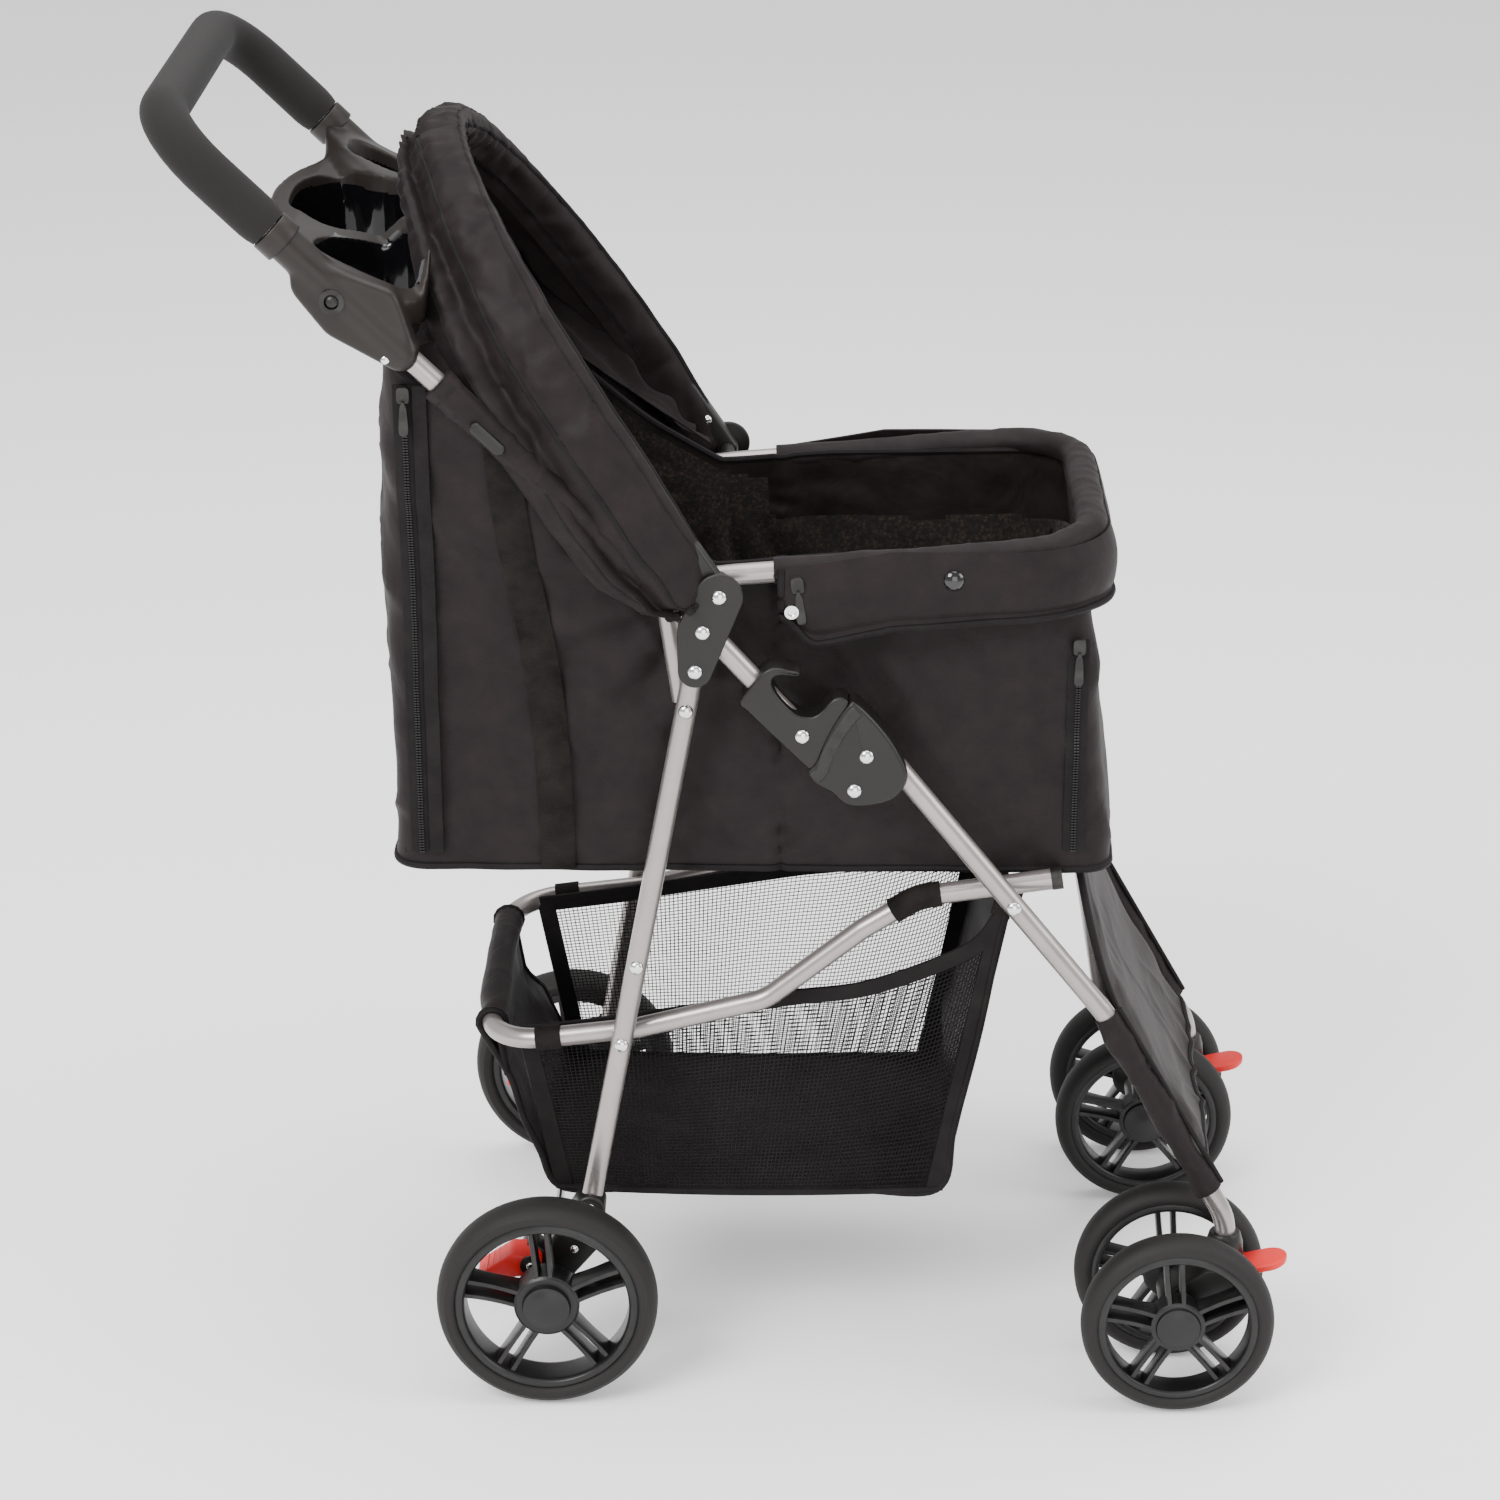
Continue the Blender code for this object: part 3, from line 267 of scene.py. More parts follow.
def fleeceMaterial(name):
    made, shader, desk = shaderFor(name, 0.95, Sheen_Weight=0.12, Sheen_Roughness=0.6, Specular_IOR_Level=0.1)
    place = desk.add("ShaderNodeTexCoord").outputs["Object"]
    curls = desk.add("ShaderNodeTexVoronoi", Vector=place, Scale=330.0)
    tufts = desk.add("ShaderNodeTexNoise", Vector=place, Scale=160.0, Detail=6.0, Roughness=0.7)
    tone = desk.maths("MULTIPLY", desk.ramp(tufts.outputs["Fac"], 0.40, 0.66),
                      desk.ramp(curls.outputs["Distance"], 0.7, 0.1))
    desk.feed(shader, "Base Color", colourBetween(desk, tone, (0.0060, 0.0042, 0.0032), (0.060, 0.038, 0.024)))
    bump = desk.add("ShaderNodeBump", Height=tufts.outputs["Fac"], Strength=0.9, Distance=0.004)
    desk.feed(shader, "Normal", bump.outputs[0])
    return made


finish = {
    "shell": clothMaterial("polyester_shell", (0.0080, 0.0056, 0.0060), (0.0140, 0.0100, 0.0106), 620.0, 0.35,
                           creases=0.30),
    "lining": clothMaterial("polyester_lining", (0.0070, 0.0056, 0.0052), (0.0150, 0.0118, 0.0105), 700.0, 0.3,
                            roughness=0.50, creases=0.5),
    "binding": clothMaterial("woven_binding", (0.0050, 0.0040, 0.0041), (0.0100, 0.0084, 0.0085), 900.0, 0.5, 0.62, 0.015),
    "webbing": clothMaterial("black_webbing", (0.0022, 0.0018, 0.0017), (0.0130, 0.0100, 0.0088), 400.0, 1.0, 0.75, 0.01),
    "mesh": clothMaterial("basket_mesh", (0.0050, 0.0045, 0.0045), (0.0100, 0.0090, 0.0090), 1500.0, 0.3, 0.6, 0.02),
    "bag": clothMaterial("canopy_lining", (0.0140, 0.0110, 0.0098), (0.0360, 0.0290, 0.0265), 700.0, 0.25, 0.42, 0.05, 0.8),
    "fleece": fleeceMaterial("brown_fleece"),
    "tube": hardMaterial("silver_enamel", (0.31, 0.280, 0.272), 0.30, 0.08, 2600.0, 0.05, Metallic=0.72,
                         Coat_Weight=0.25, Coat_Roughness=0.2),
    "steel": hardMaterial("bright_zinc", (0.72, 0.72, 0.72), 0.17, 0.06, 900.0, 0.04, Metallic=1.0),
    "plastic": hardMaterial("black_moulding", (0.0070, 0.0062, 0.0055), 0.40, 0.10, 1500.0, 0.25, wear=0.5,
                            worn=(0.034, 0.031, 0.029), Specular_IOR_Level=0.30),
    "tray": hardMaterial("charcoal_moulding", (0.0125, 0.0094, 0.0080), 0.42, 0.10, 1300.0, 0.22, wear=0.35,
                         worn=(0.040, 0.032, 0.028), Specular_IOR_Level=0.26),
    "gloss": hardMaterial("glossy_well", (0.0025, 0.0025, 0.0030), 0.10, 0.03, 400.0, 0.02, Coat_Weight=0.25),
    "foam": hardMaterial("speckled_foam", (0.0085, 0.0073, 0.0070), 0.86, 0.08, 620.0, 1.0, Sheen_Weight=0.03,
                         Specular_IOR_Level=0.25),
    "rim": hardMaterial("wheel_moulding", (0.0060, 0.0056, 0.0055), 0.34, 0.12, 1200.0, 0.12, wear=0.35,
                        worn=(0.030, 0.028, 0.027), Specular_IOR_Level=0.32),
    "tyre": hardMaterial("foam_tyre", (0.0085, 0.0074, 0.0070), 0.66, 0.10, 800.0, 0.5, Specular_IOR_Level=0.28),
    "red": hardMaterial("red_moulding", (0.62, 0.013, 0.012), 0.40, 0.08, 1200.0, 0.1, wear=0.15,
                        worn=(0.66, 0.07, 0.06), Specular_IOR_Level=0.3),
    "zip": hardMaterial("zip_teeth", (0.0045, 0.0045, 0.0050), 0.30, 0.05, 900.0, 0.05, Specular_IOR_Level=0.35),
}
print("materials ready")


# ---- shaping helpers ----

def bring(name, mesh, look, body, replaces=()):
    """Puts a finished mesh in the scene, on its body."""
    if look is not None:
        mesh.materials.clear()
        mesh.materials.append(finish[look])
    made = bpy.data.objects.new(name, mesh)
    bpy.context.scene.collection.objects.link(made)
    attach(made, body)
    if replaces:
        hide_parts(*replaces)
    return made


def toMesh(shape, name, sharp=40):
    bmesh.ops.recalc_face_normals(shape, faces=shape.faces)
    mesh = bpy.data.meshes.new(name)
    shape.to_mesh(mesh)
    shape.free()
    mesh.shade_smooth()
    mesh.set_sharp_from_angle(angle=math.radians(sharp))
    return mesh


def settled(mesh, modifiers, name=None, sharp=40):
    """The mesh with a list of (kind, settings) modifiers applied."""
    holder = bpy.data.objects.new("settling", mesh)
    bpy.context.scene.collection.objects.link(holder)
    for kind, values in modifiers:
        step = holder.modifiers.new(kind.lower(), kind)
        for key, value in values.items():
            setattr(step, key, value)
    graph = bpy.context.evaluated_depsgraph_get()
    result = bpy.data.meshes.new_from_object(holder.evaluated_get(graph))
    result.name = name or mesh.name
    bpy.data.objects.remove(holder)
    result.shade_smooth()
    result.set_sharp_from_angle(angle=math.radians(sharp))
    return result


def roundedPath(corners, radius, steps=8):
    path = [corners[0]]
    for before, corner, after in zip(corners, corners[1:], corners[2:]):
        toBefore, toAfter = (before - corner).normalized(), (after - corner).normalized()
        half = toBefore.angle(toAfter) / 2
        reach = min(radius / math.tan(half), (before - corner).length * 0.48, (after - corner).length * 0.48)
        centre = corner + (toBefore + toAfter).normalized() * reach / math.cos(half)
        first, last, swept = corner + toBefore * reach - centre, corner + toAfter * reach - centre, math.pi - 2 * half
        for step in range(steps + 1):
            part = swept * step / steps
            path.append(centre + (first * math.sin(swept - part) + last * math.sin(part)) / math.sin(swept))
    path.append(corners[-1])
    return path


def smoothPath(points, count):
    """An even Catmull-Rom path through the points."""
    points = [Vector(p) for p in points]
    ends = [points[0] * 2 - points[1], *points, points[-1] * 2 - points[-2]]
    fine = []
    for i in range(1, len(ends) - 2):
        a, b, c, d = ends[i - 1:i + 3]
        for step in range(24):
            t = step / 24
            fine.append(0.5 * (2 * b + (c - a) * t + (2 * a - 5 * b + 4 * c - d) * t * t
                               + (3 * b - a - 3 * c + d) * t ** 3))
    fine.append(points[-1])
    return evenPath(fine, count)


def evenPath(points, count):
    """The same path with its points evenly spaced."""
    lengths = [0.0]
    for a, b in zip(points, points[1:]):
        lengths.append(lengths[-1] + (b - a).length)
    even, index = [], 0
    for step in range(count):
        goal = lengths[-1] * step / (count - 1)
        while index < len(points) - 2 and lengths[index + 1] < goal:
            index += 1
        span = lengths[index + 1] - lengths[index] or 1.0
        even.append(points[index].lerp(points[index + 1], min(1.0, (goal - lengths[index]) / span)))
    return even


def pathFrames(path, upHint):
    """At each point of a path: the point, its direction, and two axes across it."""
    frames = []
    for index, point in enumerate(path):
        ahead = (path[min(index + 1, len(path) - 1)] - path[max(index - 1, 0)]).normalized()
        across = ahead.cross(upHint).normalized()
        frames.append((point, ahead, across, across.cross(ahead).normalized()))
    return frames


def sweep(name, path, profile, upHint, closed=True, caps=True, scale=None):
    """A profile of (across, up) carried along a path."""
    shape = bmesh.new()
    rings = []
    for index, (point, ahead, across, up) in enumerate(pathFrames(path, upHint)):
        size = scale(index / (len(path) - 1)) if scale else 1.0
        rings.append([shape.verts.new(point + across * a * size + up * b * size) for a, b in profile])
    count = len(profile)
    for first, second in zip(rings, rings[1:]):
        for i in range(count if closed else count - 1):
            shape.faces.new((first[i], first[(i + 1) % count], second[(i + 1) % count], second[i]))
    if caps and closed:
        shape.faces.new(rings[0])
        shape.faces.new(list(reversed(rings[-1])))
    return toMesh(shape, name)


def ringProfile(radius, count=20, flat=1.0):
    return [(radius * math.cos(math.tau * i / count), radius * flat * math.sin(math.tau * i / count))
            for i in range(count)]


def tubeMesh(name, path, radius, count=24, upHint=Vector((0.0, 1.0, 0.013))):
    return sweep(name, path, ringProfile(radius, count), upHint)


def joined(name, meshes, sharp=40):
    """Several meshes as one, each still closed."""
    shape = bmesh.new()
    for mesh in meshes:
        shape.from_mesh(mesh)
        bpy.data.meshes.remove(mesh)
    mesh = bpy.data.meshes.new(name)
    shape.to_mesh(mesh)
    shape.free()
    mesh.shade_smooth()
    mesh.set_sharp_from_angle(angle=math.radians(sharp))
    return mesh


def hullOutline(circles, count=48):
    """The outline of a band stretched round circles of (centre, radius)."""
    points = []
    for centre, radius in circles:
        points += [centre + polar(radius, 360 * i / count) for i in range(count)]
    points = sorted({(round(p.x, 6), round(p.y, 6)) for p in points})

    def half(ordered):
        chain = []
        for p in ordered:
            while len(chain) > 1:
                (ax, ay), (bx, by) = chain[-2:]
                if (bx - ax) * (p[1] - ay) - (by - ay) * (p[0] - ax) > 1e-12:
                    break
                chain.pop()
            chain.append(p)
        return chain[:-1]

    return [side(*p) for p in half(points) + half(points[::-1])]


def plateMesh(name, outline, yLow, yHigh, bevel=0.0012, segments=3):
    """A flat plate in the side view with rounded rims."""
    shape = bmesh.new()
    near = [shape.verts.new(at(p, yLow)) for p in outline]
    far = [shape.verts.new(at(p, yHigh)) for p in outline]
    shape.faces.new(near)
    shape.faces.new(list(reversed(far)))
    for i in range(len(outline)):
        j = (i + 1) % len(outline)
        shape.faces.new((near[i], far[i], far[j], near[j]))
    bmesh.ops.recalc_face_normals(shape, faces=shape.faces)
    if bevel:
        rims = [e for e in shape.edges if e.calc_face_angle(0.0) > math.radians(60)]
        bmesh.ops.bevel(shape, geom=rims, offset=bevel, segments=segments, affect="EDGES", profile=0.5)
    return toMesh(shape, name, 30)


def turnedMesh(name, profile, centre, axis="Y", steps=64):
    """A profile of (radius, along) turned about an axis through centre."""
    shape = bmesh.new()
    rings = []
    for i in range(steps):
        turn = math.tau * i / steps
        ring = []
        for radius, along in profile:
            a, b = radius * math.cos(turn), radius * math.sin(turn)
            offset = {"Y": (a, along, b), "Z": (a, b, along), "X": (along, a, b)}[axis]
            ring.append(shape.verts.new(centre + Vector(offset)))
        rings.append(ring)
    for i in range(steps):
        first, second = rings[i], rings[(i + 1) % steps]
        for j in range(len(profile)):
            k = (j + 1) % len(profile)
            shape.faces.new((first[j], first[k], second[k], second[j]))
    bmesh.ops.remove_doubles(shape, verts=shape.verts, dist=1e-6)
    return toMesh(shape, name, 35)


def alongDirection(distance, start, degrees):
    return start + polar(distance, degrees)


# ---- repeats, as geometry nodes ----

def repeatTree(name, kind):
    """Small solids set along a path, or on points with an outward direction."""
    tree = bpy.data.node_groups.new(name, "GeometryNodeTree")
    face = tree.interface
    face.new_socket(name="Geometry", in_out="INPUT", socket_type="NodeSocketGeometry")
    for label in ("Spacing", "Length", "Width", "Height"):
        face.new_socket(name=label, in_out="INPUT", socket_type="NodeSocketFloat")
    face.new_socket(name="Finish", in_out="INPUT", socket_type="NodeSocketMaterial")
    face.new_socket(name="Geometry", in_out="OUTPUT", socket_type="NodeSocketGeometry")
    nodes, links = tree.nodes, tree.links
    entry, exit_ = nodes.new("NodeGroupInput"), nodes.new("NodeGroupOutput")
    size = nodes.new("ShaderNodeCombineXYZ")
    instance = nodes.new("GeometryNodeInstanceOnPoints")
    real = nodes.new("GeometryNodeRealizeInstances")
    painted = nodes.new("GeometryNodeSetMaterial")
    if kind == "path":
        curve = nodes.new("GeometryNodeMeshToCurve")
        spread = nodes.new("GeometryNodeCurveToPoints")
        spread.mode = "LENGTH"
        solid = nodes.new("GeometryNodeMeshCube")
        links.new(entry.outputs["Geometry"], curve.inputs[0])
        links.new(curve.outputs[0], spread.inputs["Curve"])
        links.new(entry.outputs["Spacing"], spread.inputs["Length"])
        links.new(spread.outputs["Points"], instance.inputs["Points"])
        links.new(spread.outputs["Rotation"], instance.inputs["Rotation"])
        for label, axis in (("Height", "X"), ("Width", "Y"), ("Length", "Z")):
            links.new(entry.outputs[label], size.inputs[axis])
        links.new(size.outputs[0], solid.inputs["Size"])
        links.new(solid.outputs["Mesh"], instance.inputs["Instance"])
    else:
        points = nodes.new("GeometryNodeMeshToPoints")
        outward = nodes.new("GeometryNodeInputNamedAttribute")
        outward.data_type = "FLOAT_VECTOR"
        outward.inputs["Name"].default_value = "outward"
        turned = nodes.new("FunctionNodeAlignRotationToVector")
        dome = nodes.new("GeometryNodeMeshUVSphere")
        dome.inputs["Segments"].default_value = 20
        dome.inputs["Rings"].default_value = 10
        dome.inputs["Radius"].default_value = 1.0
        links.new(entry.outputs["Geometry"], points.inputs[0])
        links.new(points.outputs[0], instance.inputs["Points"])
        links.new(outward.outputs[0], turned.inputs["Vector"])
        links.new(turned.outputs[0], instance.inputs["Rotation"])
        for label, axis in (("Width", "X"), ("Length", "Y"), ("Height", "Z")):
            links.new(entry.outputs[label], size.inputs[axis])
        links.new(size.outputs[0], instance.inputs["Scale"])
        links.new(dome.outputs["Mesh"], instance.inputs["Instance"])
    links.new(instance.outputs[0], real.inputs[0])
    links.new(real.outputs[0], painted.inputs["Geometry"])
    links.new(entry.outputs["Finish"], painted.inputs["Material"])
    links.new(painted.outputs[0], exit_.inputs[0])
    return tree


alongPathTree, onPointsTree = repeatTree("repeatAlongPath", "path"), repeatTree("domesOnPoints", "points")


def repeated(name, mesh, tree, look, sizes):
    """Runs one of the trees on a mesh of edges or points, and gives back a plain mesh."""
    holder = bpy.data.objects.new(name, mesh)
    bpy.context.scene.collection.objects.link(holder)
    step = holder.modifiers.new("repeat", "NODES")
    step.node_group = tree
    for item in tree.interface.items_tree:
        if item.in_out == "INPUT" and item.name in sizes:
            step[item.identifier] = sizes[item.name]
        if item.in_out == "INPUT" and item.name == "Finish":
            step[item.identifier] = finish[look]
    graph = bpy.context.evaluated_depsgraph_get()
    result = bpy.data.meshes.new_from_object(holder.evaluated_get(graph))
    bpy.data.objects.remove(holder)
    result.name = name
    result.materials.clear()
    result.materials.append(finish[look])
    result.shade_smooth()
    result.set_sharp_from_angle(angle=math.radians(50))
    return result


def pathRepeat(name, paths, look, spacing, length, width, height):
    mesh = bpy.data.meshes.new(name + "Line")
    points, edges = [], []
    for path in paths:
        start = len(points)
        points += [tuple(p) for p in path]
        edges += [(start + i, start + i + 1) for i in range(len(path) - 1)]
    mesh.from_pydata(points, edges, [])
    sizes = {"Spacing": spacing, "Length": length, "Width": width, "Height": height}
    return repeated(name, mesh, alongPathTree, look, sizes)


def domes(name, spots, look, width, height):
    """Rivet heads at (point, outward direction)."""
    mesh = bpy.data.meshes.new(name + "Spots")
    mesh.from_pydata([tuple(p) for p, _ in spots], [], [])
    outward = mesh.attributes.new("outward", "FLOAT_VECTOR", "POINT")
    for item, (_, direction) in zip(outward.data, spots):
        item.vector = direction
    return repeated(name, mesh, onPointsTree, look, {"Width": width, "Length": width, "Height": height})


# ---- wheels ----

wheelSizes = {
    "rear": {"radius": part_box("rear_tyre_left")[1].z / 2, "width": 0.034, "hub": 0.0252, "cap": 0.0178},
    "front": {"radius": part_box("front_tyre_left_outer")[1].z / 2, "width": 0.028, "hub": 0.0208, "cap": 0.0164},
    "seam": 0.840, "opening": 0.740, "spokes": 5, "spokeGap": 0.0030, "spokeWide": 0.0046,
}


wheelSizes["rear"]["axleEnd"] = max(0.0150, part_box("rear_axle")[1].y - boxCentre("rear_tyre_left").y + 0.0008)
wheelSizes["front"]["axleEnd"] = max(
    0.0125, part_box("caster_axle_left")[1].y - boxCentre("front_tyre_left_outer").y + 0.0008)


def wheelMeshes(kind, centre, outward):
    """A foam tyre and a spoked rim. outward is the side that the hub cap faces."""
    size = wheelSizes[kind]
    radius, half = size["radius"], size["width"] / 2
    seam, opening = radius * wheelSizes["seam"], radius * wheelSizes["opening"]
    crown = [(seam - 0.0025, 0.66), (seam + 0.0004, 0.93), (seam + 0.0022, 0.99), (radius - 0.0068, 0.97),
             (radius - 0.0034, 0.80), (radius - 0.0010, 0.50), (radius, 0.18)]
    profile = [(r, w * half) for r, w in crown] + [(r, -w * half) for r, w in reversed(crown)]
    tyre = turnedMesh("tyre", profile, centre, steps=96)
    lip = [(opening, 0.62), (opening + 0.0006, 0.80), (opening + 0.0020, 0.88), (seam - 0.0030, 0.88),
           (seam - 0.0008, 0.80), (seam - 0.0006, 0.60)]
    band = turnedMesh("band", [(r, w * half) for r, w in lip] + [(r, -w * half) for r, w in reversed(lip)], centre,
                      steps=96)
    hubRadius, cap = size["hub"], size["cap"]
    end = size["axleEnd"] / half
    face = [(0.0, end + 0.06), (cap * 0.72, end + 0.05), (cap * 0.80, end), (cap, end - 0.03), (cap + 0.0010, 0.72),
            (hubRadius - 0.002, 0.72), (hubRadius, 0.62)]
    back = [(hubRadius, -0.62), (hubRadius - 0.002, -0.70), (0.0, -0.70)]
    hubMesh = turnedMesh("hub", [(r, w * half * outward) for r, w in face + back], centre, steps=48)
    parts = [band, hubMesh]
    wide, gap = wheelSizes["spokeWide"], wheelSizes["spokeGap"]
    for index in range(wheelSizes["spokes"]):
        turn = 95 + 360 / wheelSizes["spokes"] * index
        for offset in (-1, 1):
            parts.append(spokeMesh(centre, turn, offset * (gap + wide / 2), hubRadius * 0.9, opening + 0.001, wide,
                                   half))
    return tyre, joined("rim", parts)


def spokeMesh(centre, turn, offset, inner, outer, wide, half):
    along, across = polar(1.0, turn), polar(1.0, turn + 90)
    shape = bmesh.new()
    rings = []
    for step in range(5):
        t = step / 4
        place = side(centre.x, centre.z) + along * (inner + (outer - inner) * t) + across * offset * (1.0 + 0.15 * t)
        deep = half * (0.66 - 0.12 * math.sin(math.pi * t))
        ring = []
        for a, b in ((-1, -0.7), (-0.7, -1), (0.7, -1), (1, -0.7), (1, 0.7), (0.7, 1), (-0.7, 1), (-1, 0.7)):
            p = place + across * a * wide / 2
            ring.append(shape.verts.new(Vector((p.x, centre.y + b * deep, p.y))))
        rings.append(ring)
    for first, second in zip(rings, rings[1:]):
        for i in range(8):
            shape.faces.new((first[i], first[(i + 1) % 8], second[(i + 1) % 8], second[i]))
    shape.faces.new(rings[0])
    shape.faces.new(list(reversed(rings[-1])))
    return toMesh(shape, "spoke")


def makeWheels():
    for label, sign in sides:
        node = f"rear_tyre_{label}"
        tyre, rim = wheelMeshes("rear", boxCentre(node), sign)
        body = f"rear_wheel_{label}"
        bring(f"rearTyre_{label}", tyre, "tyre", body, [node])
        bring(f"rearRim_{label}", rim, "rim", body, [f"rear_rim_{label}"])
        for end, out in (("outer", sign), ("inner", -sign)):
            node = f"front_tyre_{label}_{end}"
            tyre, rim = wheelMeshes("front", boxCentre(node), out)
            body = f"front_wheel_{label}_{end}"
            bring(f"frontTyre_{label}_{end}", tyre, "tyre", body, [node])
            bring(f"frontRim_{label}_{end}", rim, "rim", body, [f"front_rim_{label}_{end}"])
    print("wheels made")


# ---- frame tubes ----

handleDegrees = 135.8
handle = {"trayStart": 0.302, "trayEnd": 0.420, "reach": 0.530, "cornerRadius": 0.070, "grip": 0.0172}
frontDegrees = -51.4
frontNormal = polar(1.0, frontDegrees + 90)
frontTop = knee + frontNormal * 0.0335 - polar(0.010, frontDegrees)
frontBend = knee + frontNormal * 0.0335 + polar(0.262, frontDegrees)
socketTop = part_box("caster_socket_right")[1].z
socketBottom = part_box("caster_socket_right")[0].z
stemCorner = side(stemX, socketTop + 0.011)
legFoot = side(axle.x + 0.027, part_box("rear_leg_right")[0].z)
legAlong = (legFoot - hub).normalized()
rimFrontX, rimRise = axle.x + 0.408, 0.022
railBackX = axle.x - 0.046


def onHandle(distance, lift=0.0):
    return hub + polar(distance, handleDegrees) + polar(lift, handleDegrees - 90)


def mirrorPath(half):
    return half + [Vector((p.x, -p.y, p.z)) for p in reversed(half)]


def topRailPath():
    low = hub + legAlong * 0.072 + side(-0.003, 0.0)
    high = side(hub.x - 0.030, topRivet.y - 0.006)
    half = [at(low, railPlane), at(high, railPlane), at(topRivet + side(0.010, 0), railPlane),
            at(side(rimFrontX, topRivet.y + rimRise), railPlane)]
    return roundedPath(mirrorPath(half), 0.062, 10)


def lowerRailPath():
    span = railFront - railRear
    half = [railFront + side(0.036, 0.006), railFront - side(0.070, 0.010),
            railRear + side(span.x * 0.62, span.y * 0.70), railRear + side(span.x * 0.37, span.y * 0.22),
            railRear + side(0.010, 0.002), side(railBackX, railRear.y - 0.012)]
    return roundedPath(mirrorPath([at(p, railPlane) for p in half]), 0.045, 10)


def handleBarPath(start):
    corners = [(start, framePlane), (handle["reach"], framePlane), (handle["reach"], -framePlane),
               (start, -framePlane)]
    return roundedPath([at(onHandle(d), y) for d, y in corners], handle["cornerRadius"], 12)


def makeTubes():
    for label, sign in sides:
        legTop = hub + legAlong * 0.018
        path = [at(legTop, sign * legPlane), at(legFoot, sign * legPlane)]
        bring(f"rearLegTube_{label}", tubeMesh("leg", path, tubeRadius), "tube", "rear_frame",
              [f"rear_leg_{label}"])
        low = knee + polar(0.006, -48)
        path = [at(p, sign * framePlane) for p in (low, hub, onHandle(0.355))]
        bring(f"handleSideTube_{label}", tubeMesh("handle", path, tubeRadius), "tube", "handle_frame",
              [f"handle_tube_{label}"])
    bar = tubeMesh("bar", handleBarPath(0.367), tubeRadius)
    bring("pushBarTube", bar, "tube", "handle_frame", ["handle_bar"])
    legs = []
    for sign in (-1, 1):
        path = [at(p, sign * framePlane) for p in (frontTop, frontBend, stemCorner, side(stemX, socketBottom + 0.004))]
        legs.append(tubeMesh("leg", roundedPath(path, 0.05, 10), tubeRadius))
    cross = [at(frontBend, -framePlane), at(frontBend, framePlane)]
    legs.append(tubeMesh("cross", cross, tubeRadius * 0.75, upHint=Vector((0.0, 0.013, 1.0))))
    bring("frontLegTubes", joined("legs", legs), "tube", "front_frame", ["front_legs"])
    up = Vector((0.01, 0.02, 1.0))
    bring("topRailTube", tubeMesh("rail", topRailPath(), tubeRadius, upHint=up), "tube", "rear_frame", ["top_rail"])
    bring("lowerRailTube", tubeMesh("rail", lowerRailPath(), tubeRadius, upHint=up), "tube", "lower_rail",
          ["basket_rail"])
    ends = [(lowerRailPath()[0], lowerRailPath()[1]), (lowerRailPath()[-1], lowerRailPath()[-2])]
    caps = []
    for end, before in ends:
        out = (end - before).normalized()
        caps.append(tubeMesh("cap", [end - out * 0.006, end + out * 0.0025], tubeRadius + 0.0006, upHint=up))
    bring("lowerRailCaps", joined("caps", caps), "plastic", "lower_rail", [])
    print("tubes made")


# ---- grip and tray ----

def makeGrip():
    path = evenPath(handleBarPath(handle["trayEnd"] + 0.004), 90)
    last = len(path) - 1

    def swell(t):
        edge = min(t, 1 - t) * last
        return 0.90 + 0.10 * smoothStep(0.0, 1.6, edge)

    mesh = sweep("grip", path, ringProfile(handle["grip"], 32), Vector((0.02, 0.01, 1.0)), scale=swell)
    bring("foamGripSleeve", mesh, "foam", "handle_frame", ["foam_grip"])
    collars = []
    for sign in (-1, 1):
        start, end = at(onHandle(handle["trayEnd"] - 0.012), sign * framePlane), at(
            onHandle(handle["trayEnd"] + 0.003), sign * framePlane)
        collars.append(tubeMesh("collar", [start, end], 0.0162, 32))
    collars = settled(joined("collars", collars), [("BEVEL", {"width": 0.0012, "segments": 3})])
    bring("gripCollars", collars, "tray", "handle_frame", [])
    print("grip made")


trayShape = {"rear": axle.x - 0.203, "front": axle.x - 0.0735, "top": 0.899, "bottom": 0.836, "wellFloor": 0.8375,
             "voxel": 0.0021, "wall": 0.0045}


def wellOutlines():
    """The three openings in the tray, as (x, y) outlines seen from above."""
    rear, front = trayShape["rear"], trayShape["front"]
    cup = [(rear + 0.043, 0.128), (rear + 0.060, 0.152), (front - 0.028, 0.157), (front - 0.009, 0.140),
           (front - 0.006, 0.100), (front - 0.014, 0.066), (front - 0.045, 0.062), (rear + 0.050, 0.096)]
    middle = [(rear + 0.012, 0.0), (rear + 0.018, 0.046), (rear + 0.046, 0.072), (front - 0.052, 0.050),
              (front - 0.012, 0.046), (front - 0.006, 0.0)]
    middle += [(x, -y) for x, y in reversed(middle[1:-1])]
    outlines = [("middle", middle)]
    for label, sign in sides:
        outlines.append((label, [(x, sign * y) for x, y in cup]))
    return [(label, closedSmooth([Vector((x, y, 0.0)) for x, y in points], 40)) for label, points in outlines]


def closedSmooth(points, count):
    looped = points[-2:] + points + points[:2]
    fine = smoothPath(looped, 400)
    start = min(range(len(fine)), key=lambda i: (fine[i] - points[0]).length)
    end = max(range(len(fine)), key=lambda i: (i > start + 200) - (fine[i] - points[0]).length)
    return evenPath(fine[start:end + 1], count + 1)[:-1]


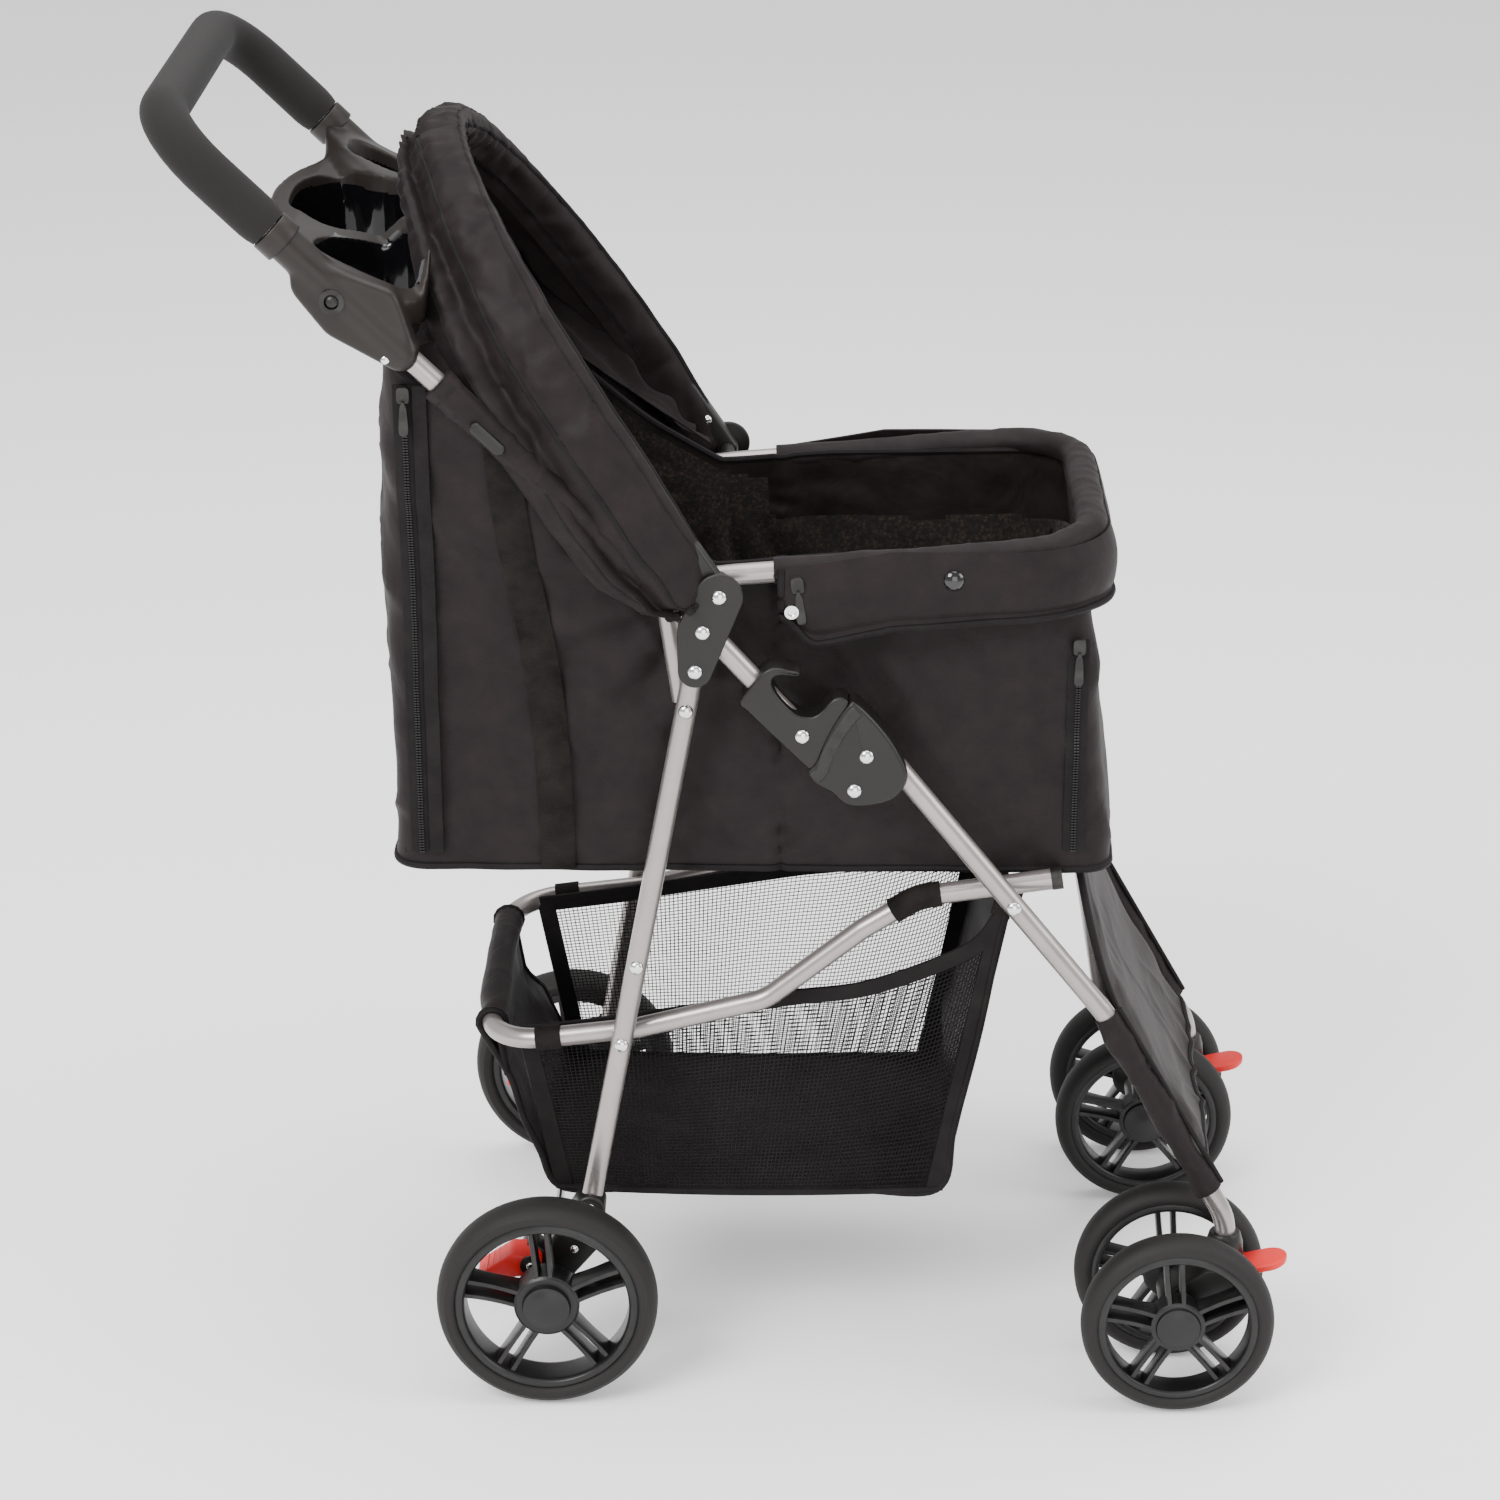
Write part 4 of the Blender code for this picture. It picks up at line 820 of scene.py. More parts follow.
def columnMesh(name, outline, low, high, lower=1.0, rows=2):
    """An upright column with an (x, y) outline, drawn in towards its middle at the foot."""
    shape = bmesh.new()
    centre = sum(outline, Vector()) / len(outline)
    rings = []
    for row in range(rows):
        t = row / (rows - 1)
        ring = []
        for p in outline:
            q = centre + (p - centre) * (lower + (1 - lower) * t)
            ring.append(shape.verts.new((q.x, q.y, low + (high - low) * t)))
        rings.append(ring)
    for first, second in zip(rings, rings[1:]):
        for i in range(len(outline)):
            j = (i + 1) % len(outline)
            shape.faces.new((first[i], first[j], second[j], second[i]))
    shape.faces.new(list(reversed(rings[0])))
    shape.faces.new(rings[-1])
    return toMesh(shape, name)


def trayLift(x, y):
    """How the top of the tray climbs along the tubes at its two sides."""
    rear, front = trayShape["rear"], trayShape["front"]
    t = (x - rear) / (front - rear)
    along = mixed(0.027, -0.034, min(1.15, max(0.0, t)))
    return along * smoothStep(0.105, 0.168, abs(y)) + mixed(0.004, -0.006, t)


def makeTray():
    rear, front, top, bottom = (trayShape[k] for k in ("rear", "front", "top", "bottom"))
    outline = [(rear, 0.0), (rear + 0.008, 0.060), (rear + 0.026, 0.110), (rear + 0.024, 0.150),
               (rear + 0.030, 0.176), (front - 0.036, 0.181), (front - 0.008, 0.168), (front, 0.120), (front, 0.0)]
    outline += [(x, -y) for x, y in reversed(outline[1:-1])]
    outline = closedSmooth([Vector((x, y, 0.0)) for x, y in outline], 96)
    body = columnMesh("trayBody", outline, bottom, top, 0.93, 8)
    for v in body.vertices:
        share = (v.co.z - bottom) / (top - bottom)
        v.co.x += 0.030 * (1 - share) ** 1.3 * smoothStep(front - 0.02, rear, v.co.x)
        v.co.z += trayLift(v.co.x, v.co.y) * share + (1 - share) * 0.008 * smoothStep(0.12, 0.16, abs(v.co.y))
    parts = [body]
    for sign in (-1, 1):
        path = [at(onHandle(d), sign * framePlane) for d in (0.290, 0.330, 0.372, 0.415)]
        sleeve = sweep("sleeve", path, ringProfile(0.0135, 24, 1.12), Vector((0.0, 1.0, 0.01)))
        parts.append(sleeve)
        cheek = hullOutline([(onHandle(0.296, -0.001), 0.0125), (onHandle(0.345, -0.010), 0.0165),
                             (onHandle(0.376, -0.006), 0.0160), (onHandle(0.330, 0.018), 0.0120)])
        low, high = sorted((sign * (framePlane - 0.012), sign * (framePlane + 0.0115)))
        parts.append(plateMesh("cheek", cheek, low, high, 0.004))
    solid = joined("tray", parts)
    solid = settled(solid, [("REMESH", {"mode": "VOXEL", "voxel_size": trayShape["voxel"]}),
                            ("SMOOTH", {"factor": 0.5, "iterations": 10})])
    cutters = []
    for label, well in wellOutlines():
        cutter = columnMesh("well", well, trayShape["wellFloor"], top + 0.06, 0.86, 4)
        cutters.append(cutter)
    holder = bpy.data.objects.new("wells", joined("wells", cutters))
    bpy.context.scene.collection.objects.link(holder)
    solid = settled(solid, [("BOOLEAN", {"operation": "DIFFERENCE", "solver": "EXACT", "object": holder}),
                            ("REMESH", {"mode": "VOXEL", "voxel_size": trayShape["voxel"] * 0.72}),
                            ("SMOOTH", {"factor": 0.5, "iterations": 6})], sharp=180)
    bpy.data.objects.remove(holder)
    tray = bring("moulded_tray", solid, "tray", "handle_frame", ["cup_tray"])
    tray.data.materials.append(finish["gloss"])
    centres = [(sum(w, Vector()) / len(w), w) for _, w in wellOutlines()]
    for face in tray.data.polygons:
        c = face.center
        for middle, well in centres:
            reach = max(((p - middle).xy.length for p in well))
            inward = (middle - Vector((c.x, c.y, 0.0))).normalized()
            lip = top + trayLift(c.x, c.y) - 0.0075
            nearby = min((p - Vector((c.x, c.y, 0.0))).length for p in well)
            inside = (Vector((c.x, c.y, 0.0)) - middle).length < reach * 1.02 and nearby < 0.045
            facing = face.normal.dot(inward) > 0.25 or (face.normal.z > 0.5 and c.z < trayShape["wellFloor"] + 0.012)
            if inside and facing and c.z < lip and c.z > trayShape["wellFloor"] - 0.003:
                face.material_index = 1
                break
    buttons, screws = [], []
    for label, sign in sides:
        spot = at(onHandle(0.358, -0.004), sign * (framePlane + 0.0128))
        ring = turnedMesh("ring", [(0.0054, -0.004), (0.0054, 0.0012), (0.0064, 0.0020), (0.0080, 0.0014),
                                   (0.0090, -0.004)], spot, steps=40)
        buttons.append(ring)
        pin = [(0.0, 0.0050), (0.0028, 0.0047), (0.0042, 0.0034), (0.0045, -0.003), (0.0, -0.003)]
        buttons.append(turnedMesh("pin", [(r, a * sign) for r, a in pin], spot, steps=32))
        screws.append((at(onHandle(0.302, -0.010), sign * (framePlane + 0.0112)), (0.0, sign, 0.0)))
    bring("trayButtons", joined("buttons", buttons), "plastic", "handle_frame", [])
    bring("trayScrews", domes("trayScrewHeads", screws, "steel", 0.0034, 0.0018), None, "handle_frame", []).data.materials.append(finish["steel"])
    print("tray made")


# ---- hinges, latches and rivets ----

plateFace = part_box("hub_plate_left")[1].y
hingeHalf = 0.013


def sidePair(low, high, sign):
    return tuple(sorted((sign * low, sign * high)))


def makeHinges():
    legRivet = hub + legAlong * 0.031
    plate = hullOutline([(topRivet, 0.0175), (hub, 0.0185), (legRivet, 0.0125)])
    houseOutline = loopAround(knee, [(-34, 14), (-29, 5), (-17, -2), (-10, -9), (-3, -12.5), (6, -13), (19, -11), (29, -7),
                                     (36, 1), (39, 9), (38, 17), (33, 28), (26, 40), (17, 52), (8, 62), (2, 67.5),
                                     (-2.5, 69.5), (-7, 65), (-12, 58), (-18, 48), (-23, 37), (-26, 28), (-30, 20)])
    onLeg = knee + frontNormal * 0.0335
    for label, sign in sides:
        face = plateMesh("plate", plate, *sidePair(plateFace - 0.0042, plateFace, sign), 0.0014)
        posts = [face]
        for spot, plane in ((topRivet, railPlane), (legRivet, legPlane)):
            inner, outer = plane + tubeRadius, plateFace - 0.002
            path = [at(spot, sign * inner), at(spot, sign * outer)]
            posts.append(tubeMesh("post", path, 0.0055, 20, Vector((0.0, 0.01, 1.0))))
        bring(f"hubPlate_{label}", joined("plate", posts), "plastic", "rear_frame", [f"hub_plate_{label}"])
        outward = (0.0, sign, 0.0)
        out = sign * (plateFace + 0.0002)
        spots = [(at(p, out), outward) for p in (topRivet, hub, legRivet)]
        legFace = sign * (legPlane + tubeRadius)
        spots += [(at(hub + legAlong * d, legFace), outward) for d in (0.072, 0.283)]
        spots += [(at(railRear, legFace), outward)]
        rivets = domes("rivets", spots, "steel", 0.0056, 0.0032)
        bring(f"frameRivets_{label}", rivets, None, "rear_frame", [f"hub_pin_{label}", f"rail_rear_pin_{label}"]).data.materials.append(finish["steel"])
        pair = sidePair(framePlane - hingeHalf, framePlane + hingeHalf, sign)
        block = plateMesh("housing", houseOutline, *pair, 0.0035, 4)
        middle = [(-29, 10), (-24, 15.5), (-20.5, 27), (-16, 37), (-10, 48), (-3, 58), (2, 63)]
        bandFace = sign * (framePlane + hingeHalf + 0.0002)
        curve = smoothPath([at(knee + side(x, z) / 1000, bandFace) for x, z in middle], 30)
        band = sweep("band", curve, [(-0.0048, -0.0016), (0.0048, -0.0016), (0.0048, 0.0002), (0.0040, 0.0009),
                                     (-0.0040, 0.0009), (-0.0048, 0.0002)], Vector((0.0, sign, 0.0)))
        bring(f"kneeHousing_{label}", joined("housing", [block, band]), "plastic", "front_frame",
              [f"knee_housing_{label}"])
        kneeOut = sign * (framePlane + hingeHalf)
        fixed = knee + side(0.0087, 0.0270)
        bring(f"kneeRivet_{label}", domes("rivet", [(at(knee, kneeOut), outward)], "steel", 0.0056, 0.0032), None,
              "handle_frame", [f"knee_pin_{label}"]).data.materials.append(finish["steel"])
        spots = [(at(fixed, kneeOut), outward), (at(railFront, sign * (framePlane + tubeRadius)), outward)]
        bring(f"legRivets_{label}", domes("rivets", spots, "steel", 0.0056, 0.0032), None, "front_frame",
              [f"rail_front_pin_{label}"]).data.materials.append(finish["steel"])
        makeLatch(label, sign)
    print("hinges made")


def loopAround(centre, places, count=130):
    """A smooth closed outline through (x, z) places in millimetres from centre."""
    fine = closedSmooth([Vector((x / 1000, z / 1000, 0.0)) for x, z in places], count)
    return [centre + side(p.x, p.y) for p in fine]


def makeLatch(label, sign):
    """The sliding lock: a sleeve on the tube with a finger hook over it."""
    outline = loopAround(knee, [(-84, 68), (-79, 77), (-72, 86), (-68, 91.5), (-62, 95), (-55, 95.2), (-48, 93.4),
                                (-42, 92.4), (-39.8, 90.6), (-42, 89.0), (-49, 89.6), (-56, 89.8), (-60.5, 87),
                                (-60.5, 81), (-57, 74), (-51, 66.5), (-44, 60), (-37, 57.2), (-30, 58), (-24.5, 62),
                                (-19.5, 68), (-15.5, 71.6), (-10.5, 72.6), (-6.5, 71), (-5, 67), (-11, 57), (-17, 46),
                                (-22, 34), (-26, 24), (-32, 16.5), (-37, 20), (-50, 33), (-66, 49), (-78, 61.5)])
    pair = sidePair(framePlane - hingeHalf + 0.0008, framePlane + hingeHalf - 0.0008, sign)
    slider = plateMesh("slider", outline, *pair, 0.0020, 4)
    bring(f"foldLatch_{label}", slider, "plastic", f"latch_{label}", [f"fold_latch_{label}"])
    face = sign * (framePlane + hingeHalf - 0.0008)
    rivet = domes("rivet", [(at(knee + side(-0.0385, 0.0424), face), (0.0, sign, 0.0))], "steel", 0.0056, 0.0032)
    bring(f"latchRivet_{label}", rivet, None, f"latch_{label}", []).data.materials.append(
        finish["steel"])


# ---- brakes and casters ----

def makeRearFeet():
    brake = side(axle.x - 0.014, axle.z + 0.016)
    for label, sign in sides:
        low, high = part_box(f"rear_bracket_{label}")
        socket = legFoot - legAlong * 0.024
        outline = hullOutline([(socket, 0.0122), (legFoot, 0.0142), (side(axle.x, axle.z), 0.0148)])
        inner, outer = legPlane - 0.0125, legPlane + 0.0125
        foot = plateMesh("foot", outline, *sidePair(inner, outer, sign), 0.003, 4)
        arm = hullOutline([(side(axle.x, axle.z), 0.012), (brake, 0.009)])
        arm = plateMesh("arm", arm, *sidePair(inner + 0.001, outer - 0.001, sign), 0.002)
        boss = tubeMesh("boss", [at(side(axle.x, axle.z), sign * (outer - 0.002)),
                                 at(side(axle.x, axle.z), sign * (outer + 0.017))], 0.009, 28,
                        Vector((0.0, 0.01, 1.0)))
        bring(f"rearFoot_{label}", joined("foot", [foot, arm, boss]), "plastic", "rear_frame",
              [f"rear_bracket_{label}"])
        screws = [(at(socket - legAlong * 0.003, sign * outer), (0.0, sign, 0.0)),
                  (at(mixed(side(axle.x, axle.z), legFoot, 0.70), sign * outer), (0.0, sign, 0.0))]
        bring(f"footScrews_{label}", domes("screws", screws, "steel", 0.0034, 0.0018), None, "rear_frame", []).data.materials.append(finish["steel"])
        tip = brake + side(-0.0385, -0.0115)
        wedge = hullOutline([(brake + side(-0.001, -0.001), 0.0090), (brake + side(-0.0125, 0.0005), 0.0078), (tip, 0.0030)])
        tread = plateMesh("tread", wedge, *sidePair(outer - 0.0135, outer + 0.0145, sign), 0.0022, 4)
        ribs = []
        slope = (tip + side(0.0, 0.0030)) - (brake + side(-0.0125, 0.0083))
        for step in range(5):
            place = brake + side(-0.0125, 0.0083) + slope * (0.12 + 0.175 * step)
            ends = [at(place, sign * (outer - 0.011)), at(place, sign * (outer + 0.0120))]
            ribs.append(tubeMesh("rib", ends, 0.0012, 10, Vector((0.0, 0.01, 1.0))))
        cap = tubeMesh("cap", [at(brake, sign * (outer + 0.0146)), at(brake, sign * (outer + 0.0170))], 0.0082, 36,
                       Vector((0.0, 0.01, 1.0)))
        bring(f"brakeCap_{label}", cap, "plastic", f"brake_{label}", [])
        turned = domes("screw", [(at(brake, sign * (outer + 0.0169)), (0.0, sign, 0.0))], "steel", 0.0036, 0.0014)
        bring(f"brakeScrew_{label}", turned, None, f"brake_{label}", []).data.materials.append(finish["steel"])
        bring(f"brakePedal_{label}", joined("pedal", [tread, *ribs]), "red", f"brake_{label}",
              [f"brake_pedal_{label}"])
    print("brakes made")


def makeCasters():
    top = socketBottom - 0.0005
    for label, sign in sides:
        y = sign * framePlane
        centre = Vector((stemX, y, 0.0))
        sleeve = [(0.0, socketBottom), (0.0143, socketBottom), (0.0147, socketBottom + 0.0010),
                  (0.0140, socketBottom + 0.012), (0.0122, socketTop - 0.0015), (0.0112, socketTop), (0.0, socketTop)]
        socket = turnedMesh("socket", sleeve, centre, "Z", 48)
        bring(f"casterSocket_{label}", socket, "plastic", "front_frame", [f"caster_socket_{label}"])
        screw = (Vector((stemX - 0.004, y + sign * 0.0128, socketBottom + 0.011)), (0.0, sign, 0.0))
        bring(f"socketScrew_{label}", domes("screw", [screw], "steel", 0.0034, 0.0022), None, "front_frame", []).data.materials.append(finish["steel"])
        outline = hullOutline([(side(stemX, top - 0.016), 0.0122), (wheelAxle, 0.0118),
                               (side(stemX - 0.012, top - 0.014), 0.0100)])
        arms = plateMesh("arms", outline, y - 0.0178, y + 0.0178, 0.003, 4)
        collar = turnedMesh("collar", [(0.0, top), (0.0136, top), (0.0146, top - 0.001), (0.0146, top - 0.022),
                                       (0.0130, top - 0.025), (0.0, top - 0.025)], centre, "Z", 48)
        sleeve = tubeMesh("sleeve", [at(wheelAxle, y - 0.025), at(wheelAxle, y + 0.025)], 0.0092, 32,
                          Vector((0.0, 0.01, 1.0)))
        bring(f"casterFork_{label}", joined("fork", [arms, collar, sleeve]), "plastic", f"caster_{label}",
              [f"caster_fork_{label}"])
        pivot = side(stemX + 0.018, top - 0.008)
        tip = side(stemX + 0.045, top - 0.003)
        plan = [Vector((pivot.x - 0.002, y - 0.0135, 0.0)), Vector((pivot.x - 0.002, y + 0.0135, 0.0))]
        plan += [Vector((tip.x - 0.0105, y, 0.0)) + Vector((math.cos(a), math.sin(a), 0.0)) * 0.0142
                 for a in [math.radians(88 - 8 * step) for step in range(23)]]
        plan.reverse()
        paddle = columnMesh("paddle", plan, pivot.y - 0.0030, pivot.y + 0.0030)
        for v in paddle.vertices:      # tilted up to its tip
            v.co.z += 0.22 * (v.co.x - pivot.x)
        paddle = settled(paddle, [("BEVEL", {"width": 0.0016, "segments": 3, "limit_method": "ANGLE"})], "paddle")
        bring(f"swivelLockPaddle_{label}", paddle, "red", f"swivel_lock_{label}", [f"swivel_lock_{label}"])
    print("casters made")


def dressCadNodes():
    """Gives the CAD nodes that stay their finish."""
    looks = {"rear_axle": "steel", "caster_axle_left": "steel", "caster_axle_right": "steel"}
    for name, look in looks.items():
        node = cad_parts[name]
        node.data.materials.clear()
        node.data.materials.append(finish[look])



# ---- cloth helpers ----

def spot(x, z):
    """A side-view place measured from the rear axle line."""
    return side(axle.x + x, z)


def crumple(point, size, amount, seed=0.0):
    """Rolling folds, about size metres apart."""
    place = Vector((point.x, point.y, point.z)) / size + Vector((seed, seed * 0.7, -seed))
    place += noise.noise_vector(place * 0.55) * 0.7
    return noise.noise(place) * amount


def pleat(point, size, amount, seed=0.0):
    """Narrow standing creases, about size metres apart."""
    place = Vector((point.x, point.y, point.z)) / size + Vector((seed, -seed, seed * 0.3))
    place += noise.noise_vector(place * 0.8) * 0.5
    return (max(0.0, 1 - abs(noise.noise(place)) * 3.2) ** 2) * amount


def clothGrid(name, rows, thick=0.0012, around=False, keep=None):
    """A closed thin sheet through rows of points."""
    shape = bmesh.new()
    made = [[shape.verts.new(p) for p in row] for row in rows]
    count = len(rows[0])
    for r, (first, second) in enumerate(zip(made, made[1:])):
        for i in range(count if around else count - 1):
            j = (i + 1) % count
            middle = (rows[r][i] + rows[r + 1][j]) / 2
            if keep is None or keep(middle):
                shape.faces.new((first[i], first[j], second[j], second[i]))
    bmesh.ops.delete(shape, geom=[v for v in shape.verts if not v.link_faces], context="VERTS")
    bmesh.ops.recalc_face_normals(shape, faces=shape.faces)
    mesh = bpy.data.meshes.new(name)
    shape.to_mesh(mesh)
    shape.free()
    return settled(mesh, [("SOLIDIFY", {"thickness": thick, "offset": 0.0})], sharp=70)


def cord(name, path, radius, count=10, upHint=Vector((0.013, 0.02, 1.0)), flat=1.0):
    return sweep(name, path, ringProfile(radius, count, flat), upHint)


def ribbon(name, path, width, thick, upHint, face=0.0):
    """A flat tape with its width across the path and its face turned to upHint."""
    half, deep = width / 2, thick / 2
    profile = [(-half, face - deep * 0.4), (-half * 0.9, face - deep), (half * 0.9, face - deep),
               (half, face - deep * 0.4), (half, face + deep * 0.4), (half * 0.9, face + deep),
               (-half * 0.9, face + deep), (-half, face + deep * 0.4)]
    return sweep(name, path, profile, upHint)


def strandTree():
    """Threads of a net: each edge line becomes a thin four-sided strand."""
    tree = bpy.data.node_groups.new("netStrands", "GeometryNodeTree")
    tree.interface.new_socket(name="Geometry", in_out="INPUT", socket_type="NodeSocketGeometry")
    tree.interface.new_socket(name="Radius", in_out="INPUT", socket_type="NodeSocketFloat")
    tree.interface.new_socket(name="Finish", in_out="INPUT", socket_type="NodeSocketMaterial")
    tree.interface.new_socket(name="Geometry", in_out="OUTPUT", socket_type="NodeSocketGeometry")
    nodes, links = tree.nodes, tree.links
    entry, exit_ = nodes.new("NodeGroupInput"), nodes.new("NodeGroupOutput")
    line, ring = nodes.new("GeometryNodeMeshToCurve"), nodes.new("GeometryNodeCurvePrimitiveCircle")
    ring.inputs["Resolution"].default_value = 4
    solid = nodes.new("GeometryNodeCurveToMesh")
    solid.inputs["Fill Caps"].default_value = True
    real, painted = nodes.new("GeometryNodeRealizeInstances"), nodes.new("GeometryNodeSetMaterial")
    links.new(entry.outputs["Geometry"], line.inputs[0])
    links.new(entry.outputs["Radius"], ring.inputs["Radius"])
    links.new(line.outputs[0], solid.inputs["Curve"])
    links.new(ring.outputs[0], solid.inputs["Profile Curve"])
    links.new(solid.outputs[0], real.inputs[0])
    links.new(real.outputs[0], painted.inputs["Geometry"])
    links.new(entry.outputs["Finish"], painted.inputs["Material"])
    links.new(painted.outputs[0], exit_.inputs[0])
    return tree


netTree = strandTree()


def netMesh(name, lines, radius, look="mesh"):
    mesh = bpy.data.meshes.new(name + "Lines")
    points, edges = [], []
    for line in lines:
        start = len(points)
        points += [tuple(p) for p in line]
        edges += [(start + i, start + i + 1) for i in range(len(line) - 1)]
    mesh.from_pydata(points, edges, [])
    return repeated(name, mesh, netTree, look, {"Radius": radius})


def netOver(surface, width, height, pitch, along=24, upward=14):
    """The lines of a net over surface(u, v), about pitch metres apart."""
    lines = []
    for i in range(1, int(width / pitch)):
        u = i * pitch / width
        lines.append([surface(u, j / upward) for j in range(upward + 1)])
    for j in range(1, int(height / pitch)):
        v = j * pitch / height
        lines.append([surface(i / along, v) for i in range(along + 1)])
    return lines


zipSizes = {"pitch": 0.0022, "tooth": 0.0011, "width": 0.0042, "height": 0.0016, "tape": 0.016}


def zipMeshes(path, upHint):
    """The tape and the teeth of a closed zip along a path."""
    tape = ribbon("tape", path, zipSizes["tape"], 0.0012, upHint)
    lifted = [p + up * 0.0012 for p, _, _, up in pathFrames(path, upHint)]
    coils = []
    for offset in (-0.00105, 0.00105):
        line = [p + across * offset for p, _, across, _ in pathFrames(lifted, upHint)]
        coils.append(line)
    teeth = pathRepeat("teeth", coils, "zip", zipSizes["pitch"], zipSizes["tooth"], zipSizes["width"] / 2,
                       zipSizes["height"])
    return tape, teeth


def sliderMesh(point, ahead, outward):
    """A zip slider with its pull hanging from it."""
    across = ahead.cross(outward).normalized()
    parts = []
    for low, high, wide, deep, lift in ((-0.006, 0.006, 0.0046, 0.0022, 0.0022), (0.004, 0.007, 0.0012, 0.0030, 0.0042),
                                        (0.006, 0.030, 0.0032, 0.0009, 0.0040)):
        outline = []
        for i in range(20):
            turn = math.tau * i / 20
            a = (low + high) / 2 + (high - low) / 2 * math.copysign(abs(math.cos(turn)) ** 0.5, math.cos(turn))
            b = wide * math.copysign(abs(math.sin(turn)) ** 0.5, math.sin(turn))
            if lift == 0.0040:
                b *= 0.75 + 0.45 * (a - low) / (high - low)
            outline.append((a, b))
        shape = bmesh.new()
        rings = [[shape.verts.new(point + ahead * a + across * b + outward * (lift + c)) for a, b in outline]
                 for c in (-deep, deep)]
        shape.faces.new(rings[0])
        shape.faces.new(list(reversed(rings[1])))
        for i in range(20):
            j = (i + 1) % 20
            shape.faces.new((rings[0][i], rings[1][i], rings[1][j], rings[0][j]))
        parts.append(toMesh(shape, "slider"))
    return joined("slider", parts)


# ---- cabin ----

cabinSizes = {
    "floor": 0.412, "rearFoot": -0.113, "rearTop": -0.110, "frontFoot": 0.428, "frontTop": 0.399,
    "half": 0.1262, "cornerRadius": 0.022, "rimRear": 0.822, "rimLow": 0.654, "rimBreak": 0.128, "rimFront": 0.664,
    "flare": 0.034, "columns": 300, "rows": 62, "seam": 0.177, "cutHeight": 0.41, "cutLength": 1.60,
}


def planLoop(xRear, xFront, half, radius, count):
    """An even loop of (x, y), from the middle of the rear wall round by the right side."""
    corners = [Vector((xRear, 0, 0)), Vector((xRear, -half, 0)), Vector((xFront, -half, 0)), Vector((xFront, half, 0)),
               Vector((xRear, half, 0)), Vector((xRear, 0, 0))]
    return evenPath(roundedPath(corners, radius, 6), count + 1)[:-1]


def rimHeight(x):
    size = cabinSizes
    x = x - axle.x
    if x < size["rimBreak"]:
        t = (x - size["rearTop"]) / (size["rimBreak"] - size["rearTop"])
        return mixed(size["rimRear"], size["rimLow"], t) - 0.010 * math.sin(math.pi * min(1.0, max(0.0, t)))
    t = (x - size["rimBreak"]) / (size["frontTop"] - size["rimBreak"])
    return mixed(size["rimLow"], size["rimFront"], min(1.0, smoothStep(0.0, 0.35, t) * 0.55 + t * 0.45))


def cabinPoint(foot, top, v):
    """One place on the cabin wall, before its wrinkles."""
    p = foot.lerp(top, v)
    p.z = mixed(cabinSizes["floor"], rimHeight(top.x), v)
    rearness = 1 - smoothStep(0.0, 0.085, p.x - axle.x)
    sideness = smoothStep(0.09, 0.124, abs(p.y))
    p.y += math.copysign(cabinSizes["flare"], p.y) * rearness * sideness * smoothStep(0.45, 1.0, v) ** 1.3
    return p


def cabinWrinkle(p, v, outward):
    x = p.x - axle.x
    edge = smoothStep(0.0, 0.10, v) * (1 - smoothStep(0.86, 1.0, v))
    sideways = abs(outward.y)
    swell = 0.0045 * math.sin(math.pi * min(1.0, v * 1.05)) * (1 - 0.6 * smoothStep(0.17, 0.20, x) * (1 - sideways))
    hang = crumple(Vector((p.x, p.y, p.z * 0.35)), 0.062, 0.0062, 3.1 + math.copysign(1.7, p.y))
    fine = crumple(p, 0.030, 0.0014, 8.0) + pleat(Vector((p.x * 0.8 + p.z * 0.55, p.y, p.z * 0.4)), 0.050, 0.0034, 5.0)
    fromHub = math.hypot(x - 0.133, p.z - 0.640)
    turn = math.atan2(p.z - 0.640, x - 0.133)
    rays = math.sin(turn * 13 + 1.5) * 0.0034 * sideways * smoothStep(0.02, 0.07, fromHub) * (
        1 - smoothStep(0.10, 0.26, fromHub))
    seam = -0.0042 * sideways * math.exp(-((x - cabinSizes["seam"]) / 0.0035) ** 2)
    pucker = 0.0012 * sideways * math.exp(-((x - cabinSizes["seam"]) / 0.014) ** 2) * math.sin(p.z * 420)
    foot = crumple(Vector((p.x, p.y, 0.0)), 0.045, 0.0022, 2.2) * (1 - smoothStep(0.0, 0.16, v))
    limit = 1 - 0.65 * smoothStep(0.60, 0.80, v) * smoothStep(0.14, 0.18, x)
    return (swell + (hang + fine + rays) * limit) * edge + seam + pucker * edge + foot


def windowArea(p):
    return p.x < axle.x - 0.098 and abs(p.y) < 0.088 and 0.468 < p.z < 0.772


